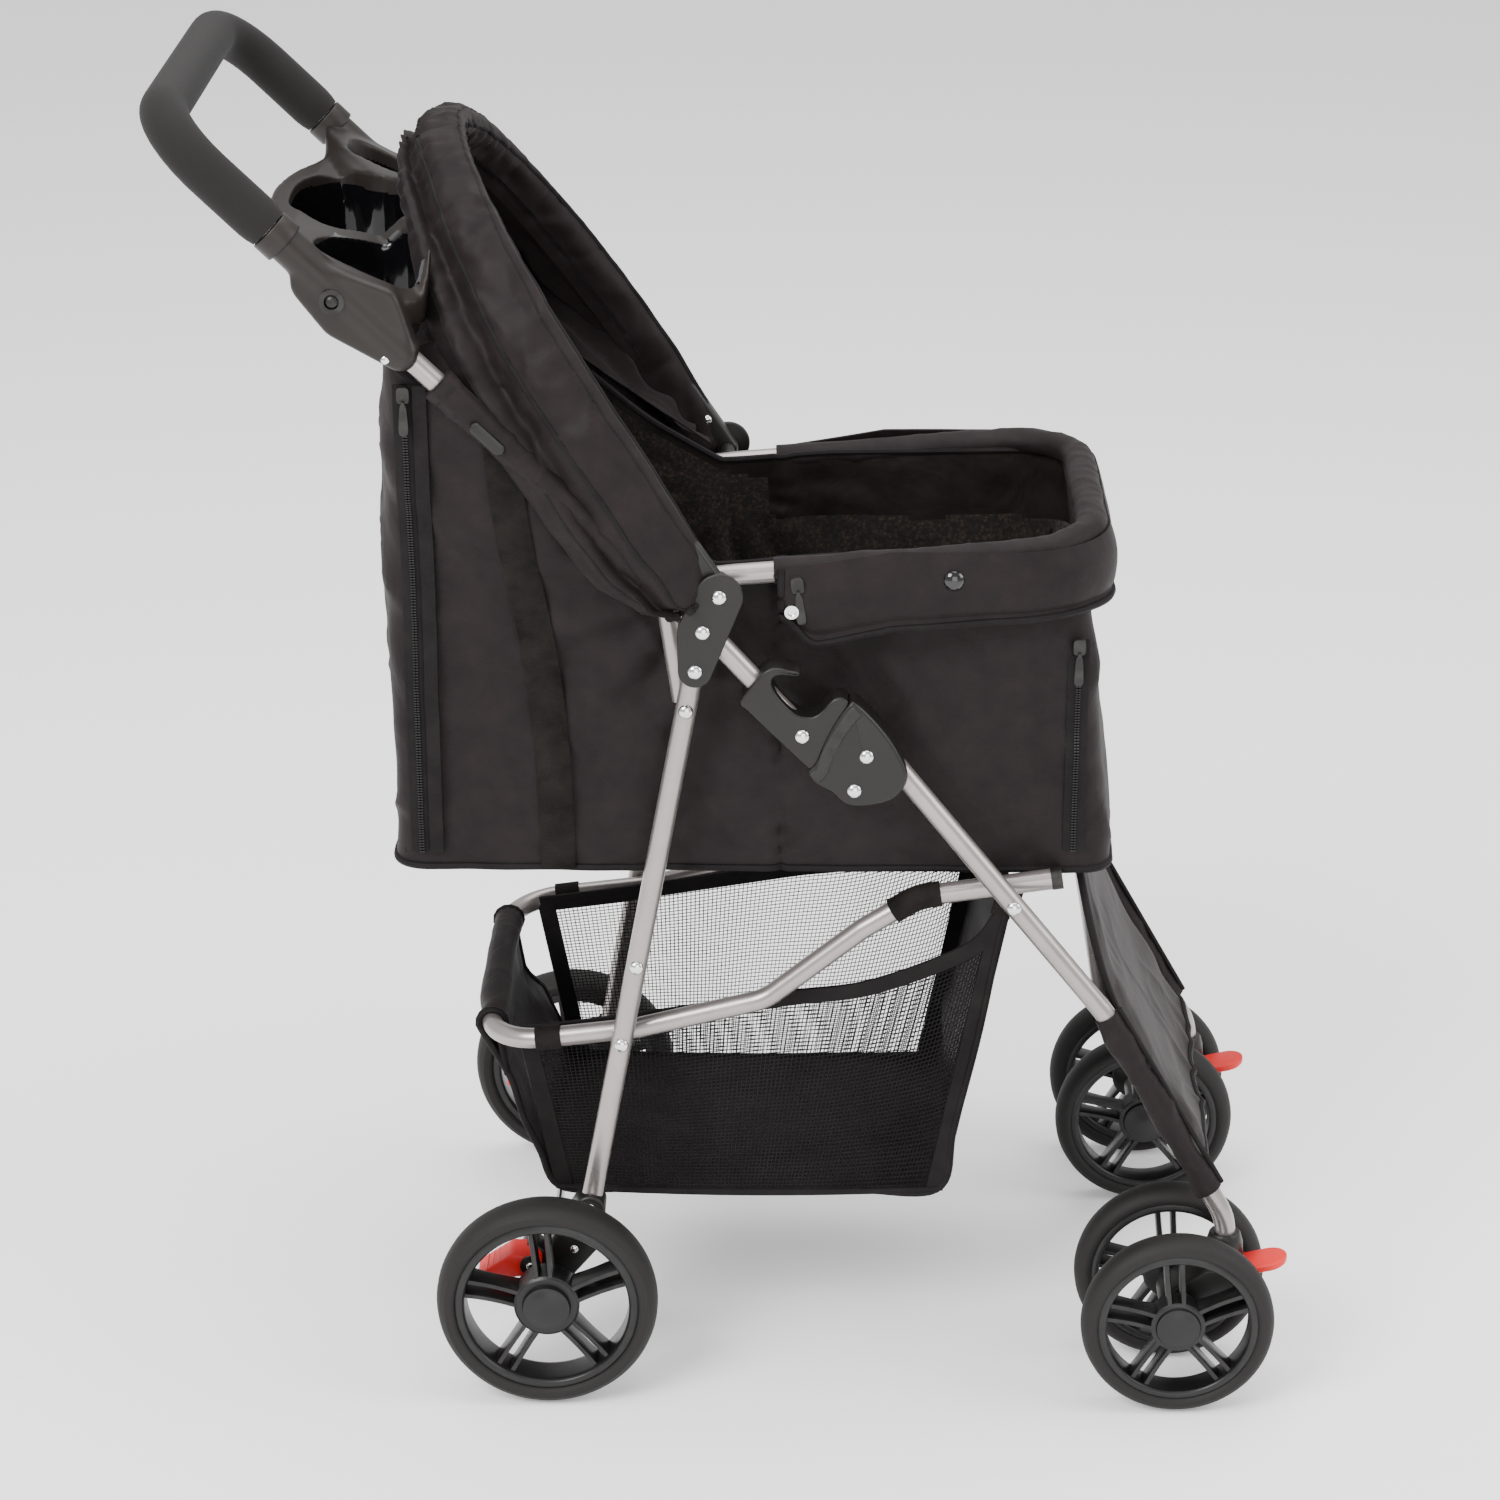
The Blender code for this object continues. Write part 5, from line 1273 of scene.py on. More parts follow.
def makeCabin():
    size = cabinSizes
    count = size["columns"]
    foot = planLoop(axle.x + size["rearFoot"], axle.x + size["frontFoot"], size["half"], size["cornerRadius"], count)
    top = planLoop(axle.x + size["rearTop"], axle.x + size["frontTop"], size["half"], size["cornerRadius"], count)
    outward = []
    for i in range(count):
        ahead = (foot[(i + 1) % count] - foot[i - 1]).normalized()
        away = Vector((-ahead.y, ahead.x, 0.0))
        middle = Vector((axle.x + 0.157, 0.0, 0.0))
        outward.append(away if away.dot(foot[i] - middle) > 0 else -away)
    rows = []
    for r in range(size["rows"]):
        v = r / (size["rows"] - 1)
        row = []
        for i in range(count):
            p = cabinPoint(foot[i], top[i], v)
            row.append(p + outward[i] * cabinWrinkle(p, v, outward[i]))
        rows.append(row)
    mesh = clothGrid("cabin", rows, 0.0014, around=True, keep=lambda p: not windowArea(p))
    cabin = bring("cabinWalls", mesh, "shell", "rear_frame", ["cabin_shell"])
    cabin.data.materials.append(finish["lining"])
    cabin.data.materials.append(finish["fleece"])
    middle = Vector((axle.x + 0.157, 0.0, 0.0))
    for face in cabin.data.polygons:
        c = face.center
        inwards = Vector((middle.x - c.x, -c.y * 3, 0.0))
        if abs(c.y) < 0.118:
            inwards.y = 0.0
        if face.normal.dot(inwards.normalized()) > 0.1:
            x = c.x - axle.x
            ceiling = 0.608 + 0.002 * math.sin(x * 60) if x > 0.165 else mixed(0.735, 0.640, smoothStep(-0.05, 0.165, x))
            face.material_index = 2 if c.z < ceiling else 1
    loops = [row for row in (rows[0], rows[-1])]
    piping = []
    for row, radius in zip(loops, (0.0032, 0.0028)):
        path = row + [row[0]]
        piping.append(cord("piping", path, radius, 8))
    inner = [Vector((axle.x + 0.157 + (p.x - axle.x - 0.157) * 0.985, p.y * 0.975, cabinSizes["floor"] + 0.001))
             for p in rows[0]]
    under = bmesh.new()
    ring = [under.verts.new(p) for p in inner]
    lower = [under.verts.new(p - Vector((0, 0, 0.0016))) for p in inner]
    under.faces.new(ring)
    under.faces.new(list(reversed(lower)))
    for i in range(count):
        under.faces.new((ring[i], lower[i], lower[(i + 1) % count], ring[(i + 1) % count]))
    piping.append(toMesh(under, "underside"))
    trims = bring("cabinPiping", joined("piping", piping), "binding", "rear_frame", [])
    extras = [trims, *cabinZips(rows), *cabinWindow(), *cabinStraps(rows)]
    for piece in [cabin, *extras]:
        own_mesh(piece)
    print("cabin made")


def wallPath(rows, x, sign, low, high, lift):
    """A line up the cabin's side wall at x, just off the cloth."""
    path = []
    for row in rows:
        near = min(row, key=lambda p: abs(p.x - x) + (0 if p.y * sign > 0.10 else 9))
        if low <= near.z <= high:
            path.append(Vector((x, near.y + sign * lift, near.z)))
    return evenPath(path, max(8, len(path)))


def cabinZips(rows):
    made = []
    for label, sign in sides:
        up = Vector((0.0, sign, 0.0))
        rear = wallPath(rows, axle.x - 0.093, sign, 0.425, 0.805, 0.0026)
        front = wallPath(rows, axle.x + 0.398, sign, 0.425, 0.600, 0.0026)
        tapes, teeth = zip(zipMeshes(rear, up), zipMeshes(front, up))
        flap = [p + Vector((0.0115, sign * 0.0024, 0.0)) for p in rear]
        tapes = list(tapes) + [ribbon("flap", flap, 0.011, 0.0026, up)]
        made.append(bring(f"cabinZipTape_{label}", joined("tapes", list(tapes)), "binding", "rear_frame", []))
        made.append(bring(f"cabinZipTeeth_{label}", joined("teeth", list(teeth)), "zip", "rear_frame", []))
        sliders = [sliderMesh(rear[-2] + up * 0.002, Vector((0, 0, -1)), up),
                   sliderMesh(front[-2] + up * 0.002, Vector((0, 0, -1)), up)]
        made.append(bring(f"cabinSliders_{label}", joined("sliders", sliders), "plastic", "rear_frame", []))
    return made


def cabinWindow():
    x = axle.x - 0.1125

    def surface(u, v):
        y, z = mixed(-0.090, 0.090, u), mixed(0.466, 0.774, v)
        return Vector((x + 0.002 - 0.004 * math.sin(math.pi * v) * math.sin(math.pi * u), y, z))

    net = netMesh("net", netOver(surface, 0.18, 0.308, 0.0032), 0.00045)
    made = [bring("rearWindowNet", net, "mesh", "rear_frame", [])]
    corners = [surface(u, v) for u, v in ((0.5, 0), (0, 0), (0, 1), (1, 1), (1, 0), (0.5, 0))]
    path = evenPath(roundedPath(corners, 0.012, 5), 120)
    trim = ribbon("trim", path, 0.012, 0.0024, Vector((1.0, 0.01, 0.02)))
    made.append(bring("rearWindowTrim", trim, "binding", "rear_frame", []))
    return made


def cabinStraps(rows):
    made = []
    wall = [p for row in rows for p in row]
    for label, sign in sides:
        near = [p for p in wall if p.y * sign > 0.10 and abs(p.x - axle.x) < 0.05]
        line = []
        for step in range(41):
            z = mixed(0.775, 0.412, step / 40)
            x = axle.x + mixed(0.010, -0.026, smoothStep(0.41, 0.80, z) ** 1.4)
            out = 0.0
            for across in (-0.012, 0.0, 0.012):
                found = min(near, key=lambda p: math.hypot(p.x - x - across, p.z - z))
                out = max(out, abs(found.y))
            line.append(Vector((x, sign * (out + 0.0030), z)))
        for turn in range(3):
            line = [line[0]] + [(a + b * 2 + c) / 4 for a, b, c in zip(line, line[1:], line[2:])] + [line[-1]]
        strap = ribbon("strap", evenPath(line, 60), 0.026, 0.0019, Vector((0.0, sign, 0.0)))
        made.append(bring(f"sideStrap_{label}", strap, "webbing", "rear_frame", []))
    return made


def makeFloor():
    low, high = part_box("floor_board")
    matLow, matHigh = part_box("fleece_mat")
    loop = planLoop(matLow.x, matHigh.x, matHigh.y, 0.022, 220)
    middle = Vector(((matLow.x + matHigh.x) / 2, 0.0, 0.0))
    rows = []
    for inward, height in ((0.0, 0.15), (-0.0015, 0.5), (0.0, 0.85), (0.004, 1.0), (0.010, 1.0), (0.03, 1.0),
                           (0.06, 1.0), (0.09, 1.0), (0.115, 1.0)):
        row = []
        for p in loop:
            flat = Vector((p.x, p.y, 0.0))
            q = Vector((flat.x - math.copysign(min(inward, abs(flat.x - middle.x)), flat.x - middle.x),
                        flat.y - math.copysign(min(inward, abs(flat.y)), flat.y), 0.0))
            lift = crumple(q, 0.05, 0.0012, 4.0) if height == 1.0 else 0.0
            q.z = mixed(matLow.z, matHigh.z, height) + lift - 0.001
            row.append(q)
        rows.append(row)
    shape = bmesh.new()
    made = [[shape.verts.new(p) for p in row] for row in rows]
    for first, second in zip(made, made[1:]):
        for i in range(len(first)):
            j = (i + 1) % len(first)
            shape.faces.new((first[i], first[j], second[j], second[i]))
    shape.faces.new(list(reversed(made[0])))
    bmesh.ops.remove_doubles(shape, verts=shape.verts, dist=0.0004)
    bmesh.ops.holes_fill(shape, edges=[e for e in shape.edges if e.is_boundary], sides=0)
    mat = bring("fleeceMatPad", toMesh(shape, "mat"), "fleece", "rear_frame", ["fleece_mat"])
    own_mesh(mat)
    board = plateMesh("board", [side(x, y) for x, y in ((low.x, low.y), (high.x, low.y), (high.x, high.y),
                                                        (low.x, high.y))], low.z, high.z, 0.001)
    for v in board.vertices:
        v.co.y, v.co.z = v.co.z, v.co.y
    board.flip_normals()
    stiff = bring("floorBoardPanel", board, "webbing", "rear_frame", ["floor_board"])
    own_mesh(stiff)
    print("floor made")


# ---- front rim and apron ----

apronSizes = {"rear": 0.176, "front": 0.4335, "half": 0.1498, "radius": 0.05, "cutWidth": 0.066, "cutLength": 0.79}


def railPart(start):
    """The top rail's path in front of start, as even points."""
    path = evenPath(topRailPath(), 400)
    front = [p for p in path if p.x > axle.x + start and p.z > 0.60]
    if front[0].y > 0:
        front.reverse()                          # from the right side round to the left
    return evenPath(front, 220)


def apronPath(count=190):
    """The line of the apron's top edge, just outside the covered rail."""
    rail = railPart(apronSizes["rear"])
    middle = Vector((axle.x + 0.22, 0.0, 0.0))
    path = []
    for p, ahead, across, _ in pathFrames(rail, Vector((0.0, 0.0, 1.0))):
        out = across if across.dot(Vector((p.x - middle.x, p.y * 3, 0.0))) > 0 else -across
        path.append(Vector((p.x + out.x * 0.0122, p.y + out.y * 0.0122, 0.0)))
    return evenPath(path, count)


def railLift(x):
    t = (x - topRivet.x) / (axle.x + rimFrontX - topRivet.x)
    return topRivet.y + rimRise * min(1.0, max(0.0, t))


def makeApron():
    rail = railPart(0.172)
    sleeve = []
    up = Vector((0.013, 0.02, 1.0))
    for index, (p, ahead, across, lift) in enumerate(pathFrames(rail, up)):
        ring = []
        for i in range(22):
            turn = math.tau * i / 22
            radius = 0.0106 + 0.0012 * math.cos(turn) ** 2
            q = p + across * math.cos(turn) * radius + lift * math.sin(turn) * radius * 0.92
            q += (q - p).normalized() * (crumple(q, 0.026, 0.0010, 7.0) + pleat(q, 0.03, 0.0008, 1.0))
            ring.append(q)
        sleeve.append(ring)
    shape = bmesh.new()
    made = [[shape.verts.new(q) for q in ring] for ring in sleeve]
    inside = [[shape.verts.new(p + (q - p) * 0.84) for q in ring] for p, ring in zip(rail, sleeve)]
    for outer, sense in ((made, 1), (inside, -1)):
        for first, second in zip(outer, outer[1:]):
            for i in range(22):
                j = (i + 1) % 22
                quad = (first[i], first[j], second[j], second[i])
                shape.faces.new(quad if sense > 0 else tuple(reversed(quad)))
    for index in (0, -1):
        for i in range(22):
            j = (i + 1) % 22
            shape.faces.new((made[index][i], made[index][j], inside[index][j], inside[index][i]))
    hem = bring("rimHem", toMesh(shape, "hem", 70), "shell", "rear_frame", [])

    path = apronPath()
    last = len(path) - 1
    rows = []
    for r in range(26):
        v = r / 25
        row = []
        for index, (p, ahead, across, _) in enumerate(pathFrames(path, Vector((0, 0, 1)))):
            end = min(index, last - index) * apronSizes["cutLength"] / last
            rounding = 1 - smoothStep(0.0, 0.034, end)
            top = railLift(p.x) + 0.0005
            deep = mixed(0.061, 0.050, smoothStep(0.20, 0.40, p.x - axle.x)) * (1 - 0.42 * rounding ** 1.6)
            z = top - deep * v
            out = 0.0042 * math.sin(math.pi * min(1, v * 1.1)) + 0.0035 * v + 0.0005
            q = Vector((p.x, p.y, z)) + across * out
            q += across * (crumple(Vector((q.x, q.y, q.z * 0.5)), 0.055, 0.0032, 6.0) + crumple(q, 0.02, 0.0006, 2.0)) * (
                0.25 + 0.75 * v)
            q -= across * 0.0018 * math.exp(-((v - 0.90) / 0.04) ** 2)
            row.append(q)
        rows.append(row)
    flap = clothGrid("apron", rows, 0.0018)
    apron = bring("apronSkirt", flap, "shell", "rear_frame", ["apron_flap"])
    edge = [rows[r][0] for r in range(0, 26, 2)] + rows[-1] + [rows[r][-1] for r in range(25, -1, -2)]
    binding = ribbon("binding", evenPath(edge, 260), 0.0088, 0.0036, Vector((0.0, 0.0, 1.0)))
    outEdge = cord("edge", evenPath(edge, 260), 0.0030, 8, flat=1.0)
    bpy.data.meshes.remove(binding)
    seam = [p + Vector((0, 0, 0.0095)) for p in rows[-1][6:-6]]
    trims = bring("apronBinding", joined("edges", [outEdge]), "binding", "rear_frame", [])
    stitch = stitches([seam], outwardOf(seam))
    sewn = bring("apronStitches", stitch, "binding", "rear_frame", [])

    line = []
    for p, ahead, across, lift in pathFrames(rail, up):
        out = across if across.dot(Vector((p.x - axle.x - 0.25, p.y, 0.0))) > 0 else -across
        line.append(p + out * 0.0105 - Vector((0, 0, 0.0015)))
    line = evenPath(line, 230)
    tape, teeth = zipMeshes(line, Vector((0.0, 0.0, 1.0)))
    bpy.data.meshes.remove(tape)
    teethPiece = bring("rimZipTeeth", teeth, "zip", "rear_frame", [])
    lip = cord("lip", [p + Vector((0, 0, 0.0032)) for p in line], 0.0014, 8)
    lower = cord("lower", [p - Vector((0, 0, 0.0034)) for p in line], 0.0012, 8)
    lipPiece = bring("rimZipTape", joined("lips", [lip, lower]), "binding", "rear_frame", [])
    slide = sliderMesh(line[5] + Vector((0.001, -0.0052, -0.004)), Vector((0.12, 0, -1)).normalized(), Vector((0, -1, 0)))
    slider = bring("rimZipSlider", slide, "plastic", "rear_frame", [])
    snaps = apronSnaps(rows)
    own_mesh(apron)
    print("apron made")


def outwardOf(path):
    return Vector((0.0, 0.0, 1.0))


def stitches(paths, upHint):
    """Short raised threads along a seam."""
    return pathRepeat("stitches", paths, "binding", 0.0034, 0.0022, 0.0006, 0.0007)


def apronSnaps(rows):
    made = []
    for label, sign in sides:
        row = rows[19] if sign < 0 else [p for p in reversed(rows[19])]
        low = min(row[:95], key=lambda p: abs(p.x - (axle.x + 0.186)))
        high = min(rows[9][:95] if sign < 0 else list(reversed(rows[9]))[:95],
                   key=lambda p: abs(p.x - (axle.x + 0.305)))
        ring = turnedMesh("ring", [(r, a * sign) for r, a in ((0.0, 0.0010), (0.0026, 0.0008), (0.0032, 0.0024),
                                                              (0.0052, 0.0026), (0.0058, 0.0), (0.0, 0.0))],
                          low + Vector((0, sign * 0.0008, 0)), steps=36)
        made.append(bring(f"snapSocket_{label}", ring, "steel", "rear_frame", []))
        dome = turnedMesh("dome", [(r, a * sign) for r, a in ((0.0, 0.0040), (0.0036, 0.0036), (0.0062, 0.0024),
                                                              (0.0076, 0.0008), (0.0076, -0.0008), (0.0, -0.0008))],
                          high + Vector((0, sign * 0.0008, 0)), steps=36)
        made.append(bring(f"snapDome_{label}", dome, "gloss", "rear_frame", []))
    return made


# ---- canopy ----

canopySizes = {"lean": 124.0, "length": 0.362, "archFrom": 0.075, "foot": 0.004, "cutWidth": 0.17, "cutLength": 0.90}
foreWay = Vector((math.sin(math.radians(canopySizes["lean"])), 0.0, -math.cos(math.radians(canopySizes["lean"]))))


def alongHoop(distance):
    return topRivet + polar(distance, canopySizes["lean"])


def hoopPath(start, count):
    """The hoop: straight at both feet, then half an ellipse."""
    low, reach = canopySizes["archFrom"], canopySizes["length"]
    path = [at(alongHoop(start), -framePlane)]
    for step in range(121):
        turn = math.pi * step / 120
        path.append(at(alongHoop(low + (reach - low) * math.sin(turn)), -framePlane * math.cos(turn)))
    return evenPath(path + [at(alongHoop(start), framePlane)], count)


def easeBetween(stops, value):
    """Smoothly reads a list of (place, amount)."""
    if value <= stops[0][0]:
        return stops[0][1]
    for (a, x), (b, y) in zip(stops, stops[1:]):
        if value <= b:
            return mixed(x, y, smoothStep(a, b, value) * 0.5 + (value - a) / (b - a) * 0.5)
    return stops[-1][1]


bandRear = [(0.0, -0.030), (0.012, -0.042), (0.06, -0.047), (0.20, -0.044), (0.31, -0.034), (0.40, -0.028), (0.60, -0.026)]
foldRear = [(0.0, -0.040), (0.015, -0.056), (0.05, -0.071), (0.10, -0.074), (0.22, -0.078), (0.29, -0.066), (0.36, -0.048),
            (0.45, -0.038)]
bandFront = [(0.0, -0.010), (0.010, 0.000), (0.04, 0.0075), (0.10, 0.0110), (0.60, 0.0130)]


def canopyProfile(reach, place):
    front, rear, back = (easeBetween(stops, reach) for stops in (bandFront, bandRear, foldRear))
    thick = mixed(0.0165, 0.0128, smoothStep(0.0, 0.07, reach))
    middle = (rear + back) / 2
    return [(front - 0.034, -0.0105), (front - 0.020, -0.0110), (front - 0.006, -0.0095), (front, -0.0030), (front, 0.0040), (front - 0.004, 0.0095),
            (front - 0.014, thick + 0.0010), (mixed(front, rear, 0.5), thick + 0.0030), (rear + 0.010, thick - 0.0005),
            (rear + 0.002, 0.0065), (rear - 0.003, 0.0050), (mixed(rear, middle, 0.6), 0.0115), (middle, 0.0135),
            (back + 0.008, 0.0090), (back, 0.0030), (back + 0.002, -0.0040), (back + 0.012, -0.0090),
            (back + 0.024, -0.0105)]


def makeCanopy():
    path = hoopPath(canopySizes["foot"], 250)
    total = sum((b - a).length for a, b in zip(path, path[1:]))
    rows = []
    for index, (p, ahead, across, up) in enumerate(pathFrames(path, foreWay)):
        walked = total * index / (len(path) - 1)
        reach = min(walked, total - walked)
        outline = canopyProfile(reach, p)
        line = smoothPath([p + up * a - across * b for a, b in outline], 52)
        middle = p + up * -0.03
        row = []
        for i, q in enumerate(line):
            away = -across
            soft = smoothStep(0, 6, i) * (1 - smoothStep(46, 51, i))
            stretched = Vector((q.x + walked * 0.0, q.y, q.z)) - ahead * ahead.dot(q) * 0.45
            q = q + away * (crumple(stretched, 0.030, 0.0034, 9.0) + pleat(stretched, 0.034, 0.0024, 4.0)) * soft
            q = q + up * crumple(q, 0.045, 0.0024, 11.0) * smoothStep(16, 40, i)
            row.append(q)
        rows.append(row)
    mesh = clothGrid("band", rows, 0.0014)
    canopy = bring("canopyBand", mesh, "shell", "canopy", ["canopy_cover"])
    trims = []
    for column, lift, radius in ((11, 0.0009, 0.0024), (15, 0.0011, 0.0012), (26, 0.0006, 0.0023), (51, 0.0, 0.0022), (37, 0.0006, 0.0012)):
        line = []
        for row in rows:
            a, b = row[max(0, column - 1)], row[min(51, column + 1)]
            ahead = rows[1][column] - rows[0][column]
            line.append(row[column])
        trims.append(cord("trim", evenPath(line, 240), radius, 8, Vector((0.02, 1.0, 0.03))))
    for index in (0, -1):
        trims.append(cord("end", evenPath(rows[index], 60), 0.0030, 8, Vector((0.1, 1.0, 0.2))))
    binding = bring("canopyPiping", joined("trims", trims), "binding", "canopy", [])
    zipLine = [row[3] for row in rows[26:-26]]
    teeth = pathRepeat("teeth", [evenPath(zipLine, 260)], "zip", zipSizes["pitch"], 0.0013, 0.0040, 0.0018)
    zipped = bring("canopyZipTeeth", teeth, "zip", "canopy", [])
    hoop = tubeMesh("hoop", hoopPath(0.058, 150), 0.006, 20, Vector((0.02, 1.0, 0.03)))
    bring("canopyHoopTube", hoop, "tube", "canopy", ["canopy_hoop"])
    for label, sign in sides:
        arm = hullOutline([(topRivet, 0.0082), (alongHoop(0.058), 0.0082)])
        pair = sidePair(framePlane - 0.0078, framePlane + 0.0078, sign)
        bring(f"hoopArmPiece_{label}", plateMesh("arm", arm, *pair, 0.003, 4), "plastic", "canopy",
              [f"hoop_arm_{label}"])
        inner = sign * (framePlane - 0.0078)
        rivet = domes("rivet", [(at(alongHoop(0.030), inner), (0.0, -sign, 0.0))], "steel", 0.0042,
                      0.0026)
        bring(f"armRivet_{label}", rivet, None, "canopy", []).data.materials.append(finish["steel"])
    makeCanopyFolds(rows)
    print("canopy made")


foldSizes = {"columns": 210, "rows": 44, "cutWidth": 0.20, "cutLength": 0.80}


def makeCanopyFolds(bandRows):
    """The slack cloth between the hoop and the cabin, gathered while the canopy is back."""
    count, deep = foldSizes["columns"], foldSizes["rows"]
    start = evenPath([row[0] for row in bandRows[14:-14]], count)
    rim = [at(spot(0.120, 0.664), -0.137), at(spot(0.03, 0.722), -0.152), at(spot(-0.06, 0.786), -0.158),
           at(spot(-0.104, 0.818), -0.128), at(spot(-0.108, 0.822), -0.06), at(spot(-0.108, 0.822), 0.0)]
    rim = evenPath(smoothPath(rim + [Vector((p.x, -p.y, p.z)) for p in reversed(rim[:-1])], 300), count)
    rows = []
    for r in range(deep):
        v = r / (deep - 1)
        row = []
        for i, (a, b) in enumerate(zip(start, rim)):
            u = i / (count - 1)
            arch = math.sin(math.pi * u)
            high = smoothStep(0.12, 0.45, u) * smoothStep(0.12, 0.45, 1 - u)
            p = a.lerp(b, v)
            bow = math.sin(math.pi * v)
            p += Vector((-0.50, 0.0, 0.10)) * 0.050 * bow * high      # slack hanging to the rear
            p.y *= 1 + 0.05 * bow * (1 - high)
            gather = math.sin(v * math.pi * 5 + 2.2 * noise.noise(Vector((u * 7, 0.3, 1.0)))) * 0.010 * bow
            p += foreWay * gather * (0.4 + 0.6 * high)
            p += foreWay * (crumple(p, 0.050, 0.012, 13.0) + crumple(p, 0.022, 0.0045, 3.0)) * bow
            p.z += crumple(p, 0.06, 0.010, 6.0) * bow * high
            behind = mixed(axle.x - 0.112, trayShape["front"] + 0.006, smoothStep(0.812, 0.832, p.z))
            behind -= 0.35 * max(0.0, p.z - 0.905)
            p.x = max(p.x, behind + 0.003 + crumple(p, 0.035, 0.005, 21.0) * bow)      # clear of the tray
            row.append(p)
        rows.append(row)
    mesh = clothGrid("folds", rows, 0.0012)
    folds = bpy.data.objects.new("canopyGathers", mesh)
    mesh.materials.clear()
    mesh.materials.append(finish["shell"])
    mesh.materials.append(finish["bag"])
    bpy.context.scene.collection.objects.link(folds)
    for face in mesh.polygons:
        c = face.center
        if face.normal.dot(foreWay) > 0.0 and c.z > 0.865 and abs(c.y) < 0.15:
            face.material_index = 1
    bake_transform(folds)


# ---- handle sleeves ----

def makeHandleSleeves():
    for label, sign in sides:
        path = evenPath([at(onHandle(d), sign * framePlane) for d in (0.056, 0.150, 0.262)], 90)
        rings = []
        for index, (p, ahead, across, up) in enumerate(pathFrames(path, Vector((0.0, 1.0, 0.01)))):
            t = index / 89
            base = 0.0104 + 0.0012 * smoothStep(0.90, 1.0, t) + 0.0010 * math.sin(t * 9)
            ring = []
            for i in range(24):
                turn = math.tau * i / 24
                q = p + (across * math.cos(turn) + up * math.sin(turn)) * base
                ring.append(q + (q - p).normalized() * (crumple(q, 0.022, 0.0014, 2.0) + pleat(q, 0.026, 0.0014, 3.0)))
            rings.append(ring)
        shape = bmesh.new()
        outer = [[shape.verts.new(q) for q in ring] for ring in rings]
        inner = [[shape.verts.new(p + (q - p) * 0.86) for q in ring] for p, ring in zip(path, rings)]
        for skin in (outer, inner):
            for first, second in zip(skin, skin[1:]):
                for i in range(24):
                    j = (i + 1) % 24
                    shape.faces.new((first[i], first[j], second[j], second[i]))
        for index in (0, -1):
            for i in range(24):
                j = (i + 1) % 24
                shape.faces.new((outer[index][i], outer[index][j], inner[index][j], inner[index][i]))
        sleeve = bring(f"handleSleeve_{label}", toMesh(shape, "sleeve", 70), "shell", "handle_frame", [])
        cuff = tubeMesh("cuff", evenPath([at(onHandle(0.252), sign * framePlane), at(onHandle(0.263), sign * framePlane)],
                                         6), 0.0124, 24, Vector((0.0, 1.0, 0.01)))
        trim = bring(f"sleeveCuff_{label}", cuff, "binding", "handle_frame", [])
        body = hullOutline([(onHandle(0.200, -0.002), 0.0045), (onHandle(0.222, -0.002), 0.0045)])
        face = framePlane + 0.0100
        clip = plateMesh("clip", body, *sidePair(face, face + 0.0045, sign), 0.0015)
        clipped = bring(f"sleeveClip_{label}", clip, "plastic", "handle_frame", [])
    print("sleeves made")


# ---- basket ----

basketSizes = {
    "floor": 0.1365, "rearFoot": 0.006, "frontFoot": 0.302, "half": 0.124, "pitch": 0.0032, "thread": 0.00042,
    "panelWidth": 0.235, "panelLength": 0.98,
}
basketTop = [(-0.022, 0.270), (0.056, 0.281), (0.147, 0.296), (0.190, 0.303), (0.249, 0.312), (0.322, 0.343),
             (0.347, 0.374)]


def basketSide(sign):
    """The surface of one net side: u runs forward and v runs up."""
    size = basketSizes
    top = smoothPath([at(spot(x, z), 0.0) for x, z in basketTop], 60)

    def surface(u, v):
        foot = at(spot(mixed(size["rearFoot"], size["frontFoot"], u), size["floor"]), 0.0)
        place = min(58.999, u * 59)
        index = int(place)
        head = top[index].lerp(top[index + 1], place - index)
        p = foot.lerp(head, v)
        bow = math.sin(math.pi * v) * math.sin(math.pi * u)
        p.y = sign * (size["half"] - 0.010 * (1 - v) * 0.4 + 0.005 * bow)
        p.y += sign * crumple(p, 0.07, 0.004, 4.0 + sign) * bow
        p.z -= 0.004 * math.sin(math.pi * u) * (1 - v)
        return p

    return surface


